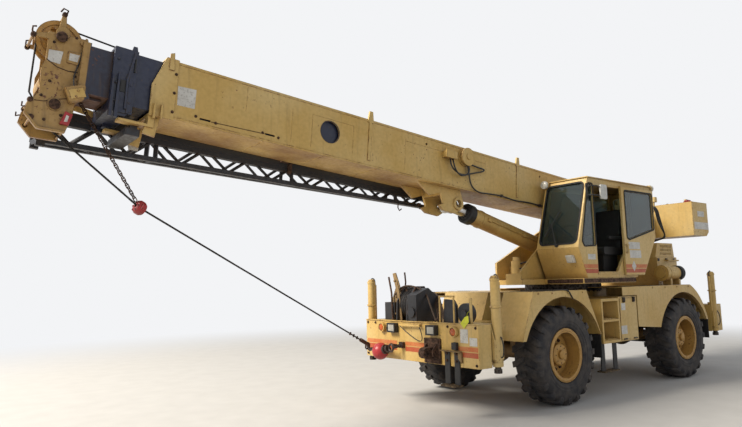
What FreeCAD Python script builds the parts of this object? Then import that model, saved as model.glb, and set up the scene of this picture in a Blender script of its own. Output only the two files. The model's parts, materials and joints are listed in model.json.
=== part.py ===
# Rough-terrain mobile crane on two axles, with a three-section telescopic boom, in millimetres.
# X points forward along the resting boom, Y to the cab's side and Z up; the ground is Z = 0.
# The model is drawn from the middle of the wheelbase and shifted to the middle of its length on saving.
import FreeCAD, Part
import os
from math import atan2, cos, degrees, hypot, pi, radians, sin, tan

V = FreeCAD.Vector
SEAT = 0.3                      # gap between two pieces that bear on each other

# Wheels and axles
WHEELBASE = 3400
TRACK = 1995                    # from tyre centre to tyre centre
TYRE_RADIUS = 665               # over the lugs
TYRE_WIDTH = 445
LUG_HEIGHT = 32
LUGS_EACH_SIDE = 20             # the two rows are staggered by half a pitch
LUG_SLANT = 0.9                 # how far a lug leans over, in half pitches
RIM_SEAT_RADIUS = 318
RIM_FLANGE_RADIUS = 361
RIM_WIDTH = 356                 # between the flanges
RIM_FLANGE = 20
RIM_WALL = 14
HUB_RADIUS = 150
SPINDLE_RADIUS = 70
KINGPIN_Y = 770
KNUCKLE_RADIUS = 76
FORK_HALF_GAP = 150
AXLE_TUBE_RADIUS = 105
DIFF_RADIUS = 190
STEER_LIMIT = 30                # degrees each way
AXLES = (("front", 1), ("rear", -1))
SIDES = (("left", 1), ("right", -1))

# Carrier frame, decks and fenders
RAIL_OUTER_Y = 400
RAIL_WIDTH = 90
FRAME_BOTTOM = 880
FRAME_TOP = 1140
BODY_HALF_WIDTH = 1200
SHEET = 10
FENDER_SKIN = 500               # width of the fenders' sloping skins
LIP_WIDTH = 55
FRONT_FENDER_TOP = 1532
REAR_FENDER_TOP = 1554
FENDER_ARCH_RADIUS = 913
FENDER_ARCH_Z = 536
RING_RADIUS = 620
RING_BOTTOM = 1500
RING_CLEARANCE = 25
TURRET_BOTTOM = 1620

# Outriggers
FRONT_FACE_X = 3340
FRONT_BOX_BOTTOM = 630
FRONT_BOX_TOP = 1153
BOX_HALF_WIDTH = 1124
BOX_PLATE = 15
BEAM_WIDTH = 176
BEAM_HEIGHT = 290
BEAM_CLEARANCE = 9
BEAM_Z = 700                    # underside of the beams
JACK_Y = 1130
JACK_RADIUS = 57
JACK_BORE = 43
JACK_ROD_RADIUS = 38
JACK_TOP = 1729
JACK_FOOT = 557
REAR_BOX_LIFT = 60              # the rear pair sits this much higher
BEAM_STROKE = 1400
JACK_STROKE = 700

# Superstructure
TURRET_PLATE = 40
TURRET_INNER_Y = 345
NOSE_LEFT = 1560
NOSE_RIGHT = 1245
BASE_PLATE = 80
LUFF_PIVOT = (-1150, 2800)      # x and z of the boom foot pin
PIVOT_PIN_RADIUS = 60
LIFT_PIN_RADIUS = 50
LIFT_FOOT = (0, 2089)           # x and z of the lift cylinder's lower pin
WEIGHT_FRONT_X = -2410
WEIGHT_LENGTH = 680
WEIGHT_HALF_WIDTH = 1150
WEIGHT_BOTTOM = 2430
WEIGHT_TOP = 3050
DRUM_X = -2060
DRUM_Z = 2740
DRUM_RADIUS = 150
DRUM_FLANGE_RADIUS = 230

# Cab
CAB_INNER_Y = 430
CAB_OUTER_Y = 1160
CAB_WALL = 40
DOOR_THICKNESS = 34
DOOR_GAP = 7
DOOR_TRAVEL = 695
GLASS = 6

# Boom, in its own frame: u along it from the foot pin, v square to it
BOOM_ANGLE = 5.4                # above level as it stands
LUFF_LOW = 3
LUFF_HIGH = 76
BASE_HEIGHT = 610
BASE_WIDTH = 620
BASE_TOP_V = 444
BASE_REAR_U = -350
BASE_FRONT_U = 8060
BASE_WALL = 10
SECTION_STEP = 70               # each section is this much smaller than the one around it
MID_FRONT_U = 8600
FLY_FRONT_U = 8820
MID_REAR_U = 300
FLY_REAR_U = 620
SECTION_STROKE = 6400
HEAD_HALF_WIDTH = 190
HEAD_PLATE_THICKNESS = 25
TOP_SHEAVE = (9056, 392)
LOW_SHEAVE = (9035, -262)
SHEAVE_RADIUS = 205
LOW_SHEAVE_RADIUS = 175
SHEAVE_SHAFT_RADIUS = 40
HOLE_RADIUS = 26                # lightening holes in the sheaves' webs
LIFT_PIN = (3790, -362)
LIFT_BARREL_RADIUS = 130
LIFT_BARREL_LENGTH = 2380
LIFT_ROD_RADIUS = 75


def box(x0, x1, y0, y1, z0, z1):
    low = V(min(x0, x1), min(y0, y1), min(z0, z1))
    return Part.makeBox(abs(x1 - x0), abs(y1 - y0), abs(z1 - z0), low)


def rod_x(y, z, radius, x0, x1):
    return Part.makeCylinder(radius, abs(x1 - x0), V(min(x0, x1), y, z), V(1, 0, 0))


def rod_y(x, z, radius, y0, y1):
    return Part.makeCylinder(radius, abs(y1 - y0), V(x, min(y0, y1), z), V(0, 1, 0))


def rod_z(x, y, radius, z0, z1):
    return Part.makeCylinder(radius, abs(z1 - z0), V(x, y, min(z0, z1)), V(0, 0, 1))


def rod_between(start, end, radius):
    return Part.makeCylinder(radius, (end - start).Length, start, end - start)


def outline_face(path, to_point):
    """A flat face from a path of (a, b) points; ((a, b), (c, d)) is an arc through the first to the second."""
    points = [item if not isinstance(item[0], tuple) else item[1] for item in path]
    edges = []
    for index, item in enumerate(path):
        start, end = to_point(*points[index - 1]), to_point(*points[index])
        if isinstance(item[0], tuple):
            edges.append(Part.Arc(start, to_point(*item[0]), end).toShape())
        elif (end - start).Length > 1e-6:
            edges.append(Part.LineSegment(start, end).toShape())
    return Part.Face(Part.Wire(edges))


def slab_xz(path, y0, y1):
    low, high = min(y0, y1), max(y0, y1)
    return outline_face(path, lambda x, z: V(x, low, z)).extrude(V(0, high - low, 0))


def slab_yz(path, x0, x1):
    low, high = min(x0, x1), max(x0, x1)
    return outline_face(path, lambda y, z: V(low, y, z)).extrude(V(high - low, 0, 0))


def slab_xy(path, z0, z1):
    return outline_face(path, lambda x, y: V(x, y, z0)).extrude(V(0, 0, z1 - z0))


def turned_y(path, x, y, z):
    """A ring or disc turned about an axis along Y; the path gives (radius, y) from its middle."""
    face = outline_face(path, lambda radius, across: V(x + radius, y + across, z))
    return face.revolve(V(x, y, z), V(0, 1, 0), 360)


def joined(*pieces):
    shapes = [piece for item in pieces for piece in (item if isinstance(item, list) else [item])]
    return shapes[0].multiFuse(shapes[1:]).removeSplitter() if len(shapes) > 1 else shapes[0]


def apart(*pieces):
    shapes = [piece for item in pieces for piece in (item if isinstance(item, list) else [item])]
    return Part.makeCompound(shapes)


def rounded(corners, radius):
    """The outline through the corners with each corner turned into an arc, as outline_face takes it."""
    path = []
    for index, corner in enumerate(corners):
        here = V(corner[0], corner[1], 0)
        before, after = corners[index - 1], corners[(index + 1) % len(corners)]
        back = (V(before[0], before[1], 0) - here).normalize()
        ahead = (V(after[0], after[1], 0) - here).normalize()
        half = back.getAngle(ahead) / 2
        start, end = here + back * (radius / tan(half)), here + ahead * (radius / tan(half))
        middle = here + (back + ahead).normalize() * (radius / sin(half) - radius)
        path += [(start.x, start.y), ((middle.x, middle.y), (end.x, end.y))]
    return path


def facet_solid(faces):
    """A closed solid from flat faces, each given by its corners."""
    shell = Part.makeShell([Part.Face(Part.makePolygon(list(corners) + [corners[0]])) for corners in faces])
    shell.sewShape()
    return Part.makeSolid(shell)


# Boom frame to machine frame
def boom_place(shape):
    placed = shape.copy()
    placed.rotate(V(0, 0, 0), V(0, 1, 0), -BOOM_ANGLE)
    placed.translate(V(LUFF_PIVOT[0], 0, LUFF_PIVOT[1]))
    return placed


def boom_point(u, v):
    angle = radians(BOOM_ANGLE)
    return (LUFF_PIVOT[0] + u * cos(angle) - v * sin(angle),
            LUFF_PIVOT[1] + u * sin(angle) + v * cos(angle))


# Where the machine starts and ends along X, for its origin
HEAD_NOSE = (9268, -398)
HEAD_REACH = boom_point(*HEAD_NOSE)[0]
REAR_FACE_X = -3280
ORIGIN_X = (HEAD_REACH + REAR_FACE_X) / 2


def save(name, shape):
    placed = shape.copy()
    placed.translate(V(-ORIGIN_X, 0, 0))
    placed.exportStep(f"parts/{name}.step")


# Carrier: rails, crossmembers and the drum that carries the slew ring
def chassis_frame():
    front_end = FRONT_FACE_X - 2 * (BEAM_WIDTH + 2 * BEAM_CLEARANCE) - 3 * BOX_PLATE - SEAT
    rear_end = REAR_FACE_X + 2 * (BEAM_WIDTH + 2 * BEAM_CLEARANCE) + 3 * BOX_PLATE + SEAT
    rails = [box(rear_end, front_end, side * (RAIL_OUTER_Y - RAIL_WIDTH), side * RAIL_OUTER_Y,
                 FRAME_BOTTOM, FRAME_TOP) for _, side in SIDES]
    inner = RAIL_OUTER_Y - RAIL_WIDTH
    cross = [box(x - 60, x + 60, -inner, inner, FRAME_BOTTOM + 40, FRAME_TOP - 40)
             for x in (front_end - 60, WHEELBASE / 2, -WHEELBASE / 2, rear_end + 60)]
    pedestal = rod_z(0, 0, RING_RADIUS - 40, FRAME_TOP, RING_BOTTOM)
    pedestal = pedestal.cut(rod_z(0, 0, RING_RADIUS - 80, FRAME_TOP - 1, RING_BOTTOM + 1))
    foot = box(-RING_RADIUS, RING_RADIUS, -RAIL_OUTER_Y - 220, RAIL_OUTER_Y + 220, FRAME_TOP - 30, FRAME_TOP)
    foot = foot.cut(rod_z(0, 0, RING_RADIUS - 240, FRAME_TOP - 31, FRAME_TOP + 1))
    return joined(rails, cross, pedestal, foot)


def slew_ring():
    ring = rod_z(0, 0, RING_RADIUS, RING_BOTTOM + SEAT, TURRET_BOTTOM - SEAT)
    return ring.cut(rod_z(0, 0, RING_RADIUS - 110, RING_BOTTOM, TURRET_BOTTOM))


# Outriggers: two crossing beams to each box
def outrigger_slots(face_x, inward):
    """Middles along X of the slots, counted from the outer face; inward is the way to the machine's middle."""
    pitch = BEAM_WIDTH + 2 * BEAM_CLEARANCE + BOX_PLATE
    first = face_x + inward * (BOX_PLATE + BEAM_CLEARANCE + BEAM_WIDTH / 2)
    return first, first + inward * pitch


FRONT_SLOTS = outrigger_slots(FRONT_FACE_X, -1)     # outer slot: right beam, inner slot: left beam
REAR_SLOTS = outrigger_slots(REAR_FACE_X, 1)
SLOT_OF = {("front", "left"): FRONT_SLOTS[1], ("front", "right"): FRONT_SLOTS[0],
           ("rear", "left"): REAR_SLOTS[1], ("rear", "right"): REAR_SLOTS[0]}
OPEN_END_Y = JACK_Y - JACK_RADIUS - 12


def lift_of(axle):
    return REAR_BOX_LIFT if axle == "rear" else 0


def outrigger_box(axle):
    face_x, inward = (FRONT_FACE_X, -1) if axle == "front" else (REAR_FACE_X, 1)
    lift = lift_of(axle)
    bottom, top = FRONT_BOX_BOTTOM + lift, FRONT_BOX_TOP + (0 if axle == "front" else 20)
    pitch = BEAM_WIDTH + 2 * BEAM_CLEARANCE + BOX_PLATE
    plates = []
    for count in range(3):
        start = face_x + inward * count * pitch
        reach = BOX_HALF_WIDTH if count != 1 else OPEN_END_Y
        plates.append(box(start, start + inward * BOX_PLATE, -reach, reach, bottom, top))
    for slot, (name, side) in enumerate((("right", -1), ("left", 1))):
        start = face_x + inward * (slot * pitch)
        end = start + inward * (pitch + BOX_PLATE)
        closed, opened = -side * BOX_HALF_WIDTH, side * OPEN_END_Y
        floor_z, roof_z = BEAM_Z + lift - SEAT, BEAM_Z + lift + BEAM_HEIGHT + BEAM_CLEARANCE
        plates.append(box(start, end, closed, opened, floor_z - BOX_PLATE, floor_z))
        plates.append(box(start, end, closed, opened, roof_z, roof_z + BOX_PLATE))
        plates.append(box(start, end, closed, opened, top - BOX_PLATE, top))
        plates.append(box(start, end, closed, closed + side * BOX_PLATE, bottom, top))
    return joined(plates)


def outrigger_beam(axle, side_name, side):
    """Hollow beam with wedge plates at its end, the jack's barrel and the slim oil tube beside it."""
    x, lift = SLOT_OF[axle, side_name], lift_of(axle)
    z0 = BEAM_Z + lift
    far = -side * (BOX_HALF_WIDTH - BOX_PLATE - 40)
    near_jack = side * (JACK_Y - JACK_RADIUS)
    beam = box(x - BEAM_WIDTH / 2, x + BEAM_WIDTH / 2, far, near_jack + side * 20, z0, z0 + BEAM_HEIGHT)
    hollow = box(x - BEAM_WIDTH / 2 + 12, x + BEAM_WIDTH / 2 - 12, far - side, near_jack - side * 30,
                 z0 + 12, z0 + BEAM_HEIGHT - 12)
    top = JACK_TOP + lift / 3
    barrel = rod_z(x, side * JACK_Y, JACK_RADIUS, JACK_FOOT + 80 + lift, top)
    head = rod_z(x, side * JACK_Y, JACK_RADIUS + 6, top - 40, top - 12)
    gland = rod_z(x, side * JACK_Y, JACK_RADIUS + 8, JACK_FOOT + 80 + lift, JACK_FOOT + 130 + lift)
    cheeks = box(x - BEAM_WIDTH / 2, x + BEAM_WIDTH / 2, near_jack, side * (JACK_Y + 30), z0 + 20, z0 + BEAM_HEIGHT - 20)
    wedge = [(near_jack - side * 2, z0 + BEAM_HEIGHT - 21), (near_jack - side * 2, z0 + BEAM_HEIGHT + 165),
             (side * (JACK_Y - 20), z0 + BEAM_HEIGHT + 165), (side * (JACK_Y + 30), z0 + BEAM_HEIGHT - 21)]
    wedges = [slab_yz(wedge, x + across, x + across + 14) for across in (-BEAM_WIDTH / 2, BEAM_WIDTH / 2 - 14)]
    tube_x = x - JACK_RADIUS - 15 if axle == "front" else x + JACK_RADIUS + 15
    tube = rod_z(tube_x, side * JACK_Y, 20, z0 + BEAM_HEIGHT - 30, top - 60)
    clip = box(min(tube_x, x), max(tube_x, x), side * JACK_Y - 12, side * JACK_Y + 12, top - 130, top - 100)
    bore = rod_z(x, side * JACK_Y, JACK_BORE, JACK_FOOT + lift, JACK_TOP - 60)
    return joined(beam.cut(hollow), barrel, head, gland, cheeks, wedges, tube, clip).cut(bore)


def jack_rod(axle, side_name, side):
    x, y, lift = SLOT_OF[axle, side_name], side * JACK_Y, lift_of(axle)
    rod = rod_z(x, y, JACK_ROD_RADIUS, JACK_FOOT + 20 + lift, JACK_TOP - 260)
    piston = rod_z(x, y, JACK_BORE - 0.5, JACK_TOP - 320, JACK_TOP - 260)
    foot = rod_z(x, y, JACK_ROD_RADIUS + 12, JACK_FOOT + lift, JACK_FOOT + 50 + lift)
    return joined(rod, piston, foot)


# Fenders and decks
def arch_path(axle_x, radius, centre_z, front_z, rear_z):
    """The wheel arch from its front foot over the top to its rear foot."""
    def at(z, way):
        return (axle_x + way * (radius ** 2 - (z - centre_z) ** 2) ** 0.5, z)
    return at(front_z, 1), ((axle_x, centre_z + radius), at(rear_z, -1))


def arch_lip(arch_start, arch_end, arch_top, outer, side):
    """The folded edge of a wheel arch: an arc of sheet standing inwards."""
    def lifted(point):
        return point[0], point[1] + SHEET
    path = [arch_start, (arch_top, arch_end), lifted(arch_end), (lifted(arch_top), lifted(arch_start))]
    return slab_xz(path, outer - side * LIP_WIDTH, outer)


def front_fender(side):
    axle_x = WHEELBASE / 2
    outer = side * BODY_HALF_WIDTH
    front_foot, rear_foot = (axle_x + 909, 906), (axle_x - 862, 888)
    front_top, rear_top = (axle_x + 648, FRONT_FENDER_TOP), (axle_x - 546, FRONT_FENDER_TOP)
    arch_start, arch_end = arch_path(axle_x, FENDER_ARCH_RADIUS, FENDER_ARCH_Z, front_foot[1], rear_foot[1])
    flank = slab_xz([front_foot, front_top, rear_top, rear_foot, arch_end[1],
                     (arch_end[0], arch_start)], outer - side * SHEET, outer)
    inner = side * (RAIL_OUTER_Y + 30)
    top = box(rear_top[0], front_top[0], inner, outer, FRONT_FENDER_TOP - SHEET, FRONT_FENDER_TOP)
    skin_inner = outer - side * FENDER_SKIN
    front = slab_xz([front_top, front_foot, (front_foot[0] - SHEET * 1.1, front_foot[1]),
                     (front_top[0] - SHEET * 1.1, front_top[1])], skin_inner, outer)
    rear = slab_xz([rear_top, rear_foot, (rear_foot[0] + SHEET * 1.1, rear_foot[1]),
                    (rear_top[0] + SHEET * 1.1, rear_top[1])], skin_inner, outer)
    lip = arch_lip(arch_start, arch_end[1], arch_end[0], outer, side)
    return joined(flank, top, front, rear, lip)


def rear_fender(side):
    axle_x = -WHEELBASE / 2
    outer = side * BODY_HALF_WIDTH
    start_x, box_rear_x = TOOL_BOX_REAR + 393, TOOL_BOX_REAR - 12
    front_foot, rear_foot = (axle_x + 840, 885), (axle_x - 851, 930)
    arch_start, arch_end = arch_path(axle_x, FENDER_ARCH_RADIUS - 20, FENDER_ARCH_Z, front_foot[1], rear_foot[1])
    crown = (axle_x - 270, REAR_FENDER_TOP)
    flank = slab_xz([(start_x, REAR_FENDER_TOP), crown, ((axle_x - 640, 1300), rear_foot), arch_end[1],
                     (arch_end[0], arch_start), (box_rear_x, 935), (box_rear_x, TOOL_BOX_TOP + 12),
                     (start_x, TOOL_BOX_TOP + 12)], outer - side * SHEET, outer)
    inner = side * (RAIL_OUTER_Y + 30)
    top = box(crown[0], start_x, inner, outer, REAR_FENDER_TOP - SHEET, REAR_FENDER_TOP)
    skin_inner = outer - side * FENDER_SKIN
    skin = slab_xz([crown, ((axle_x - 640, 1300), rear_foot), (rear_foot[0] + SHEET, rear_foot[1]),
                    ((axle_x - 640 + SHEET, 1300 - SHEET), (crown[0], crown[1] - SHEET))], skin_inner, outer)
    front = box(box_rear_x - SHEET, box_rear_x, skin_inner, outer, 935, REAR_FENDER_TOP - SHEET)
    lip = arch_lip(arch_start, arch_end[1], arch_end[0], outer, side)
    return joined(flank, top, skin, front, lip).cut(rod_z(0, 0, RING_RADIUS + RING_CLEARANCE, RING_BOTTOM, TURRET_BOTTOM))


TOOL_BOX_FRONT = WHEELBASE / 2 - 900
STEP_BOX_REAR = TOOL_BOX_FRONT - 480
TOOL_BOX_REAR = 1510 - WHEELBASE / 2
BOX_DEPTH = 560                 # across the machine
TOOL_BOX_BOTTOM = 744
TOOL_BOX_TOP = 1410


def carrier_decks():
    """The low deck behind the front box, the panel up to the high deck, and the deck under the hood."""
    axle_x = WHEELBASE / 2
    inner = RAIL_OUTER_Y + 30 - SEAT
    front_top_x = axle_x + 648
    low_front = FRONT_SLOTS[1] - BEAM_WIDTH / 2 - BEAM_CLEARANCE - BOX_PLATE - SEAT
    high = box(RING_RADIUS + 40, front_top_x, -inner, inner, FRONT_FENDER_TOP - SHEET, FRONT_FENDER_TOP)
    slope = slab_xz([(front_top_x, FRONT_FENDER_TOP), (front_top_x + 160, FRAME_TOP + SEAT + SHEET),
                     (front_top_x + 160, FRAME_TOP + SEAT), (front_top_x - SHEET, FRONT_FENDER_TOP - SHEET)],
                    -inner, inner)
    low = box(front_top_x + 140, low_front, -690, 690, FRAME_TOP + SEAT, FRAME_TOP + SEAT + SHEET)
    rear_top = REAR_FENDER_TOP
    rear_end = REAR_SLOTS[1] + BEAM_WIDTH / 2 + BEAM_CLEARANCE + BOX_PLATE + SEAT
    rear = box(-RING_RADIUS - 40, rear_end, -inner, inner, rear_top - SHEET, rear_top)
    webs = [box(-RING_RADIUS - 60, rear_end, side * (RAIL_OUTER_Y - SHEET), side * RAIL_OUTER_Y,
                FRAME_TOP + SEAT, rear_top - SHEET) for _, side in SIDES]
    front_webs = [slab_xz([(RING_RADIUS + 60, FRAME_TOP + SEAT), (RING_RADIUS + 60, FRONT_FENDER_TOP - SHEET),
                           (front_top_x - SHEET, FRONT_FENDER_TOP - SHEET),
                           (front_top_x + 160, FRAME_TOP + SEAT)], side * (RAIL_OUTER_Y - SHEET), side * RAIL_OUTER_Y)
                  for _, side in SIDES]
    return apart(joined(high, slope, low, front_webs), joined(rear, webs))


HOOD_FRONT = -1780
HOOD_REAR = -2500
HOOD_HALF_WIDTH = 750
HOOD_STEP_Z = 2050
HOOD_TOP = 2310
HOOD_SLOT_ROWS = 3


def engine_hood():
    """Box with a lower crown: louvred sides and roof, a barred radiator opening at the rear."""
    low = REAR_FENDER_TOP + SEAT
    half, crown_half = HOOD_HALF_WIDTH, HOOD_HALF_WIDTH - 30
    shell = box(HOOD_REAR, HOOD_FRONT, -half, half, low, HOOD_STEP_Z)
    crown = slab_xz([(HOOD_REAR + 20, HOOD_STEP_Z), (HOOD_REAR + 60, HOOD_TOP), (HOOD_FRONT - 110, HOOD_TOP),
                     (HOOD_FRONT - 10, HOOD_STEP_Z)], -crown_half, crown_half)
    inside = box(HOOD_REAR + SHEET, HOOD_FRONT - SHEET, SHEET - half, half - SHEET, low - 1, HOOD_STEP_Z - SHEET)
    inside_crown = box(HOOD_REAR + 75, HOOD_FRONT - 125, 15 - crown_half, crown_half - 15,
                       HOOD_STEP_Z - SHEET - 1, HOOD_TOP - SHEET)
    slots = []
    length, pitch = HOOD_FRONT - HOOD_REAR, 42
    for row in range(HOOD_SLOT_ROWS):
        z = HOOD_STEP_Z + 45 + row * 66
        slots += [box(x, x + 20, -crown_half - 1, crown_half + 1, z, z + 46)
                  for x in [HOOD_REAR + 120 + pitch * count for count in range(int((length - 290) / pitch))]]
    radiator = box(HOOD_REAR - 1, HOOD_REAR + SHEET + 1, -half + 130, half - 130, low + 90, HOOD_STEP_Z - 70)
    bars = [box(HOOD_REAR + 1, HOOD_REAR + SHEET, -half + 125, half - 125, z, z + 14)
            for z in [low + 90 + 40 * count for count in range(1, 9)]]
    return joined(joined(shell, crown).cut(joined(inside, inside_crown)).cut(slots + [radiator]), bars)


def engine_block():
    return box(HOOD_REAR + 110, HOOD_FRONT - 60, -280, 280, REAR_FENDER_TOP + SEAT, HOOD_STEP_Z - 60)


def air_cleaner():
    """Drum on two feet beside the hood, with a clamped dust cap and an elbow into the hood."""
    y, z, radius = BODY_HALF_WIDTH - 245, 1760, 118
    front, rear = HOOD_FRONT + 250, HOOD_FRONT - 330
    body = rod_x(y, z, radius, rear, front)
    cap = rod_x(y, z, radius + 18, front - 60, front + 40)
    dome = rod_x(y, z, radius - 30, front + 40, front + 62)
    clamp = rod_x(y, z, radius + 12, front - 110, front - 85)
    pipe = rod_y(HOOD_FRONT - 150, z, 55, HOOD_HALF_WIDTH + SEAT, y)
    feet = [box(x, x + 60, y - 70, y + 70, REAR_FENDER_TOP + SEAT, z - 60) for x in (rear + 90, front - 200)]
    return joined(body, cap, dome, clamp, pipe, feet)


def left_boxes():
    """Tool box with its door, and the two step wells let into the box ahead of it."""
    outer = BODY_HALF_WIDTH
    inner = outer - BOX_DEPTH
    tool = box(TOOL_BOX_REAR, STEP_BOX_REAR, inner, outer - 12, TOOL_BOX_BOTTOM, TOOL_BOX_TOP)
    lid = box(TOOL_BOX_REAR + 20, STEP_BOX_REAR - 20, outer - 13, outer, TOOL_BOX_BOTTOM + 25, TOOL_BOX_TOP - 25)
    step = box(STEP_BOX_REAR, TOOL_BOX_FRONT, inner, outer, TOOL_BOX_BOTTOM, TOOL_BOX_TOP - 20)
    wells = [box(STEP_BOX_REAR + 40, TOOL_BOX_FRONT - 40, outer - 260, outer + 1, low, high)
             for low, high in ((TOOL_BOX_BOTTOM + 40, 1050), (1085, TOOL_BOX_TOP - 60))]
    treads = [box(STEP_BOX_REAR + 39, TOOL_BOX_FRONT - 39, y, y + 26, z, z + 14)
              for z in (TOOL_BOX_BOTTOM + 39, 1084) for y in (outer - 60, outer - 130, outer - 200)]
    arm = box(TOOL_BOX_REAR + 90, TOOL_BOX_FRONT - 200, RAIL_OUTER_Y + SEAT, inner, FRAME_BOTTOM + 60,
              FRAME_BOTTOM + 160)
    return joined(joined(tool, lid, step).cut(wells), treads, arm)


def right_tanks():
    """Fuel tank with rounded long edges, two straps, a filler neck and its arm to the rail."""
    outer, inner = -BODY_HALF_WIDTH + 8, -BODY_HALF_WIDTH + BOX_DEPTH
    corners = ((inner, TOOL_BOX_BOTTOM), (outer, TOOL_BOX_BOTTOM), (outer, TOOL_BOX_TOP), (inner, TOOL_BOX_TOP))
    tank = slab_yz(rounded(corners, 90), TOOL_BOX_REAR, TOOL_BOX_FRONT)
    grown = ((inner + 1, TOOL_BOX_BOTTOM - 8), (outer - 8, TOOL_BOX_BOTTOM - 8), (outer - 8, TOOL_BOX_TOP + 8),
             (inner + 1, TOOL_BOX_TOP + 8))
    straps = [slab_yz(rounded(grown, 96), x, x + 60) for x in (TOOL_BOX_REAR + 180, TOOL_BOX_FRONT - 240)]
    filler = rod_z(TOOL_BOX_REAR + 90, outer + 110, 55, TOOL_BOX_TOP - 20, TOOL_BOX_TOP + 70)
    arm = box(TOOL_BOX_REAR + 90, TOOL_BOX_FRONT - 200, -RAIL_OUTER_Y - SEAT, inner, FRAME_BOTTOM + 60,
              FRAME_BOTTOM + 160)
    return joined(tank, straps, filler, arm)


def hanging_steps():
    """A tread frame on two straps below the left box, and one below the front box."""
    side_top, side_tread = TOOL_BOX_BOTTOM - SEAT, 350
    outer, rear, front = BODY_HALF_WIDTH - 10, STEP_BOX_REAR + 60, TOOL_BOX_FRONT - 10
    side_straps = [box(x, x + 70, outer - 60, outer - 48, side_tread, side_top) for x in (rear, front - 70)]
    side_plate = box(rear, front, outer - 130, outer, side_tread - 20, side_tread)
    side_slots = [box(rear + 60, front - 60, y, y + 22, side_tread - 21, side_tread + 1)
                  for y in (outer - 112, outer - 34)]
    face = FRONT_FACE_X + SEAT
    front_straps = [box(face, face + 12, y, y + 60, 410, FRONT_BOX_BOTTOM + 190) for y in (560, 730)]
    front_plate = box(face - 40, face + 110, 550, 800, 390, 410)
    front_slots = [box(x, x + 22, 640, 710, 389, 411) for x in (face - 22, face + 32, face + 70)]
    return apart(joined(side_straps, side_plate).cut(side_slots), joined(front_straps, front_plate).cut(front_slots))


# Axles, knuckles and wheels
def axle(way):
    x = way * WHEELBASE / 2
    z = TYRE_RADIUS
    tube = rod_y(x, z, AXLE_TUBE_RADIUS, -(KINGPIN_Y - 100), KINGPIN_Y - 100)
    bowl = Part.makeSphere(DIFF_RADIUS, V(x, 0, z))
    forks = []
    for _, side in SIDES:
        inner, outer = side * (KINGPIN_Y - 130), side * (KINGPIN_Y + 50)
        block = box(x - 80, x + 80, inner, side * (KINGPIN_Y - KNUCKLE_RADIUS - 6), z - 190, z + 190)
        upper = box(x - 60, x + 60, inner, outer, z + FORK_HALF_GAP, z + 190)
        lower = box(x - 60, x + 60, inner, outer, z - 190, z - FORK_HALF_GAP)
        forks += [block, upper, lower]
    pads = [box(x - 90, x + 90, side * (RAIL_OUTER_Y - RAIL_WIDTH), side * RAIL_OUTER_Y,
                z, FRAME_BOTTOM - SEAT) for _, side in SIDES]
    return joined(tube, bowl, forks, pads)


def knuckle(way, side):
    x, y, z = way * WHEELBASE / 2, side * KINGPIN_Y, TYRE_RADIUS
    body = rod_z(x, y, KNUCKLE_RADIUS, z - FORK_HALF_GAP + SEAT, z + FORK_HALF_GAP - SEAT)
    spindle = rod_y(x, z, SPINDLE_RADIUS, y, side * (TRACK / 2 + 20))
    return joined(body, spindle)


def rim(way, side):
    x, y, z = way * WHEELBASE / 2, side * TRACK / 2, TYRE_RADIUS
    half = RIM_WIDTH / 2
    outer, inner = half + RIM_FLANGE, -half - RIM_FLANGE
    disc_out, disc_in = 0, -24
    seat = RIM_SEAT_RADIUS
    path = [(RIM_FLANGE_RADIUS, half), (RIM_FLANGE_RADIUS, outer), (seat - RIM_WALL, outer), (seat - RIM_WALL, disc_out),
            (HUB_RADIUS, disc_out), (HUB_RADIUS, 95), (HUB_RADIUS - 20, 110), (0, 110), (0, 60),
            (SPINDLE_RADIUS + SEAT, 60), (SPINDLE_RADIUS + SEAT, -90), (HUB_RADIUS - 10, -90), (HUB_RADIUS - 10, disc_in),
            (seat - RIM_WALL, disc_in), (seat - RIM_WALL, inner), (RIM_FLANGE_RADIUS, inner), (RIM_FLANGE_RADIUS, -half),
            (seat, -half), (seat, half)]
    return turned_y([(radius, side * across) for radius, across in path], x, y, z)


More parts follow.
